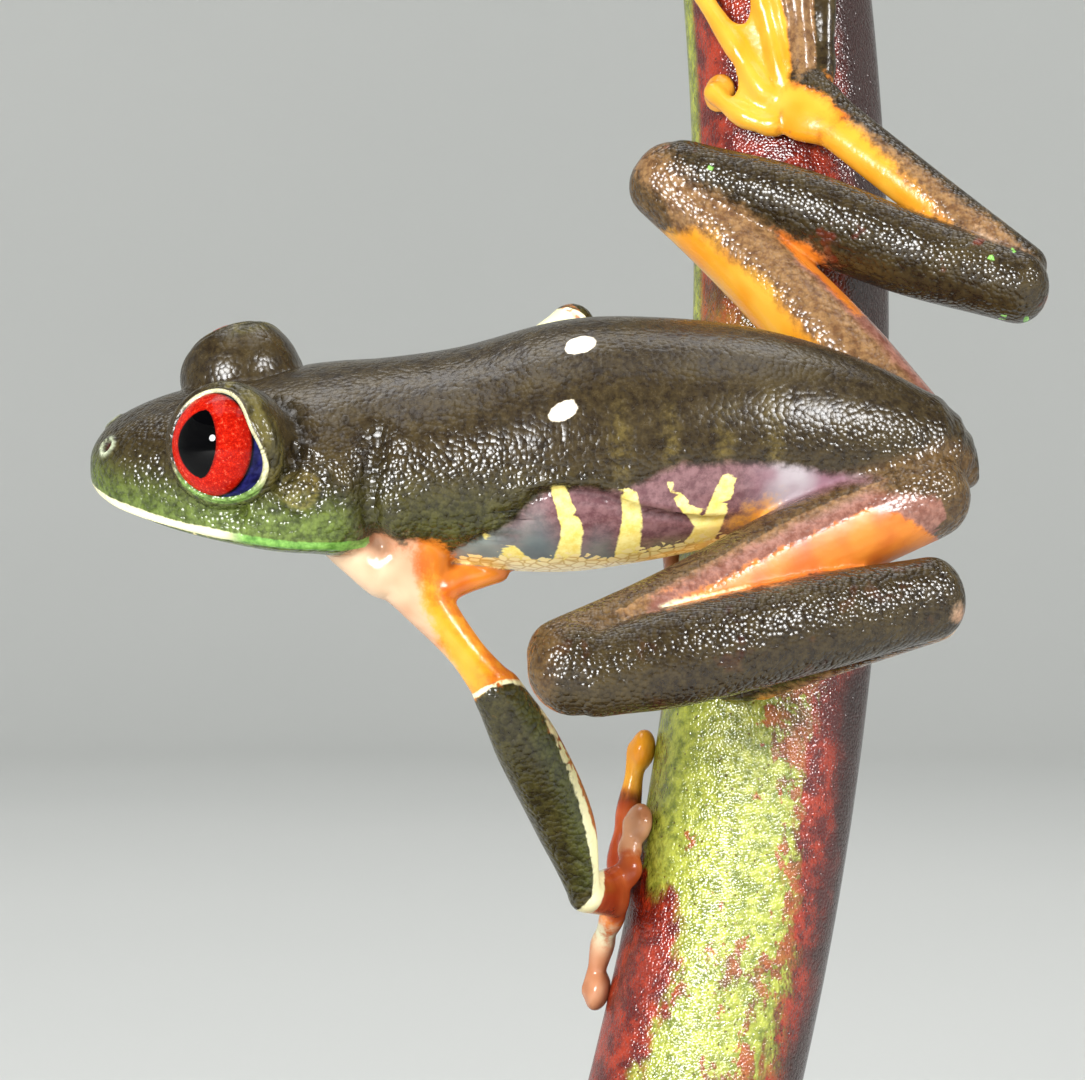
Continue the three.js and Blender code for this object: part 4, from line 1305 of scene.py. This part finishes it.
def turned(profile, centre, rows, around):  # a profile spun round a vertical line
    t = np.linspace(0, len(profile) - 1, rows)
    r, z = (np.interp(t, np.arange(len(profile)), np.array(profile)[:, k])[:, None] for k in (0, 1))
    a = np.linspace(0, 2 * np.pi, around, endpoint=False)
    flat = np.stack([r * np.cos(a), r * np.sin(a), z + 0 * a], -1)
    return closedLoft(flat + np.array([centre[0], centre[1], 0]))


def makeStand():
    low, high = (np.array(c) * 1000 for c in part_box("stand_base"))
    verts, faces = turned(base["profile"], (low + high) / 2, 170, 240)
    addPiece("base", newMesh("base", verts / 1000, faces), woodPaint(), "turned_wood", "stand_base")
    top = high[2]
    low, high = (np.array(c) * 1000 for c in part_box("stand_rod"))
    r, c = rod["radius"], rod["collar"]
    profile = [
        (0.2, low[2]), (r, low[2]), (r, top - 0.02), (c - 0.3, top - 0.02), (c, top + 0.25), (c, top + 0.9),
        (c - 0.35, top + 1.25), (r + 0.35, top + 1.4), (r, top + 1.7), (r, high[2]), (0.2, high[2]),
    ]
    verts, faces = turned(profile, (low + high) / 2, 140, 72)
    addPiece("rod", newMesh("rod", verts / 1000, faces), brassPaint(), "rod_brass", "stand_rod")


def woodPaint():
    paint = Paint("turned dark wood")
    growth = paint.noise(42.0, 4.0, 0.6, paint.place((0.35, 5.0, 5.0)), 0.6)
    pores = paint.noise(900.0, 3.0, 0.7, paint.place((0.12, 2.4, 2.4))).between(0.55, 0.72)
    colour = paint.mix(pores * 0.7, paint.mottle(growth, "2a160c", "5c3620"), rgb("140a06"))
    relief = paint.relief(growth * 0.5 - pores, 0.00006, 0.5)
    return paint.surface(
        Base_Color=colour, Roughness=0.34 + growth * 0.12, Normal=relief,
        Coat_Weight=0.4, Coat_Roughness=0.16,
    )


def brassPaint():
    paint = Paint("polished brass")
    lines = paint.noise(600.0, 3.0, 0.6, paint.place((1.0, 1.0, 12.0)))
    return paint.surface(
        Base_Color=paint.mottle(lines, "b08a44", "d4b264"), Metallic=1.0, Roughness=0.16 + lines * 0.16,
        Normal=paint.relief(lines, 0.000004, 0.5),
    )


# Stage: one sheet, a flat round floor that curves up into a wall all round.
stageSize = {"floor": 0.95, "curve": 0.35, "wall": 1.0, "below": 0.0001}


def makeStage():
    floor, curve, around = stageSize["floor"], stageSize["curve"], 96
    bend = np.linspace(0, np.pi / 2, 25)[1:]
    out = floor + curve * np.sin(bend)
    r = np.concatenate([np.linspace(0.01, floor, 30), out, np.full(6, floor + curve)])[:, None]
    rise = curve * (1 - np.cos(bend))
    z = np.concatenate([np.zeros(30), rise, np.linspace(0.4, 1, 6) * stageSize["wall"]])[:, None]
    a = np.linspace(0, 2 * np.pi, around, endpoint=False)
    points = np.stack([r * np.cos(a), r * np.sin(a), z + 0 * a], -1).reshape(-1, 3)
    quads = gridQuads(len(r), around)
    mesh = newMesh("backdrop", points - [0, 0, stageSize["below"]], quads)
    mesh.polygons.foreach_set("use_smooth", np.ones(len(quads), bool))
    paint = Paint("pale paper")
    colour = paint.mix(paint.noise(3.0, 2.0), rgb("c9cbc8"), rgb("d2d3d0"))
    mesh.materials.append(paint.surface(Base_Color=colour, Roughness=0.85))
    backdrop = addObject("backdrop", mesh)


def lookAt(thing, place, target):
    d = np.asarray(target, float) - place
    pitch = np.arctan2(d[2], np.hypot(d[0], d[1]))
    thing.location = place
    thing.rotation_euler = (np.pi / 2 + pitch, 0, np.arctan2(-d[0], d[1]))


lights = {  # degrees to the left of the camera and above it, distance and size in metres, watts
    "key": {"left": 32, "up": 12.6, "away": 0.36, "size": 0.14, "power": 2.0},  # not on the eyes
    "spark": {"left": 32, "up": 12.6, "away": 0.36, "size": 0.075, "power": 1.7},  # on the eyes only
    "side": {"left": -48, "up": 24, "away": 0.36, "size": 0.11, "power": 1.2},  # not on the eyes
    "front": {"left": 3, "up": 12, "away": 0.36, "size": 0.07, "power": 1.1},  # on the stem only
    "top": {"left": -30, "up": 112, "away": 0.6, "size": 0.4, "power": 0.1},
    "fill": {"left": -70, "up": 10, "away": 0.6, "size": 0.3, "power": 0.2},
}
wallLights = {  # the heights and distances of the lamps and of what they look at, then turns and watts
    "height": 0.85, "out": 0.3, "aim": 0.25, "aimOut": 1.3, "size": 0.9,
    "turns": [(0, 5.8), (90, 3.6), (180, 2.0), (270, 3.6)],
}
sky = {"colour": (0.9, 0.95, 1.0, 1), "strength": 0.13}
view = {"back": 0.2744, "lens": 135, "sensor": 36, "nearest": 0.02, "farthest": 10}


# Which pieces some lights reach: the eyes have a small one to themselves, so that each pupil mirrors one
# spark. The eyeballs are taken out of the first collection's light below.
reached = {name: bpy.data.collections.new(name) for name in ("all but the eyes", "the eyes", "the stem")}
reach = {"key": "all but the eyes", "side": "all but the eyes", "spark": "the eyes", "front": "the stem"}


def addLamp(name, size, power, place, target):
    lamp = bpy.data.lights.new(name, "AREA")
    lamp.shape, lamp.size, lamp.energy = "DISK", size, power
    thing = addObject(name, lamp)
    lookAt(thing, place, target)
    return thing


def makeLights():
    middle = toScene(np.zeros(3))
    for name, light in lights.items():
        a, e = np.radians(light["left"]), np.radians(light["up"])
        out = np.array([-np.sin(a) * np.cos(e), -np.cos(a) * np.cos(e), np.sin(e)])
        thing = addLamp(name, light["size"], light["power"], middle + light["away"] * out, middle)
        if name in reach:
            thing.light_linking.receiver_collection = reached[reach[name]]
    for turn, power in wallLights["turns"]:  # these look outwards and light the sheet evenly
        out = np.array([np.sin(np.radians(turn)), np.cos(np.radians(turn)), 0])
        place = out * wallLights["out"] + [0, 0, wallLights["height"]]
        target = out * wallLights["aimOut"] + [0, 0, wallLights["aim"]]
        addLamp("wall", wallLights["size"], power, place, target)
    world = bpy.data.worlds.new("soft sky")
    world.use_nodes = True
    background = world.node_tree.nodes["Background"].inputs
    background[0].default_value, background[1].default_value = sky["colour"], sky["strength"]
    bpy.context.scene.world = world


def makeCamera():
    camera = bpy.data.cameras.new("camera")
    camera.lens = view["lens"]
    camera.sensor_width = view["sensor"]
    camera.clip_start, camera.clip_end = view["nearest"], view["farthest"]
    thing = addObject("camera", camera)
    middle = toScene(np.zeros(3))
    lookAt(thing, middle - [0, view["back"], 0], middle)
    bpy.context.scene.camera = thing
    bpy.context.scene.view_settings.view_transform = "Standard"


makeCamera()
makeLights()
makeStage()
print("stage, lights and camera")
makeStand()
reached["the stem"].objects.link(makePerch())
print("stand and perch")
wetEye = eyePaint()
for side in sides:
    eyeball = makeEye(side, wetEye)
    reached["the eyes"].objects.link(eyeball)
    reached["all but the eyes"].objects.link(eyeball)
for entry in reached["all but the eyes"].collection_objects:
    entry.light_linking.link_state = "EXCLUDE"
print("eyes")
makeFrog()
print("skin")
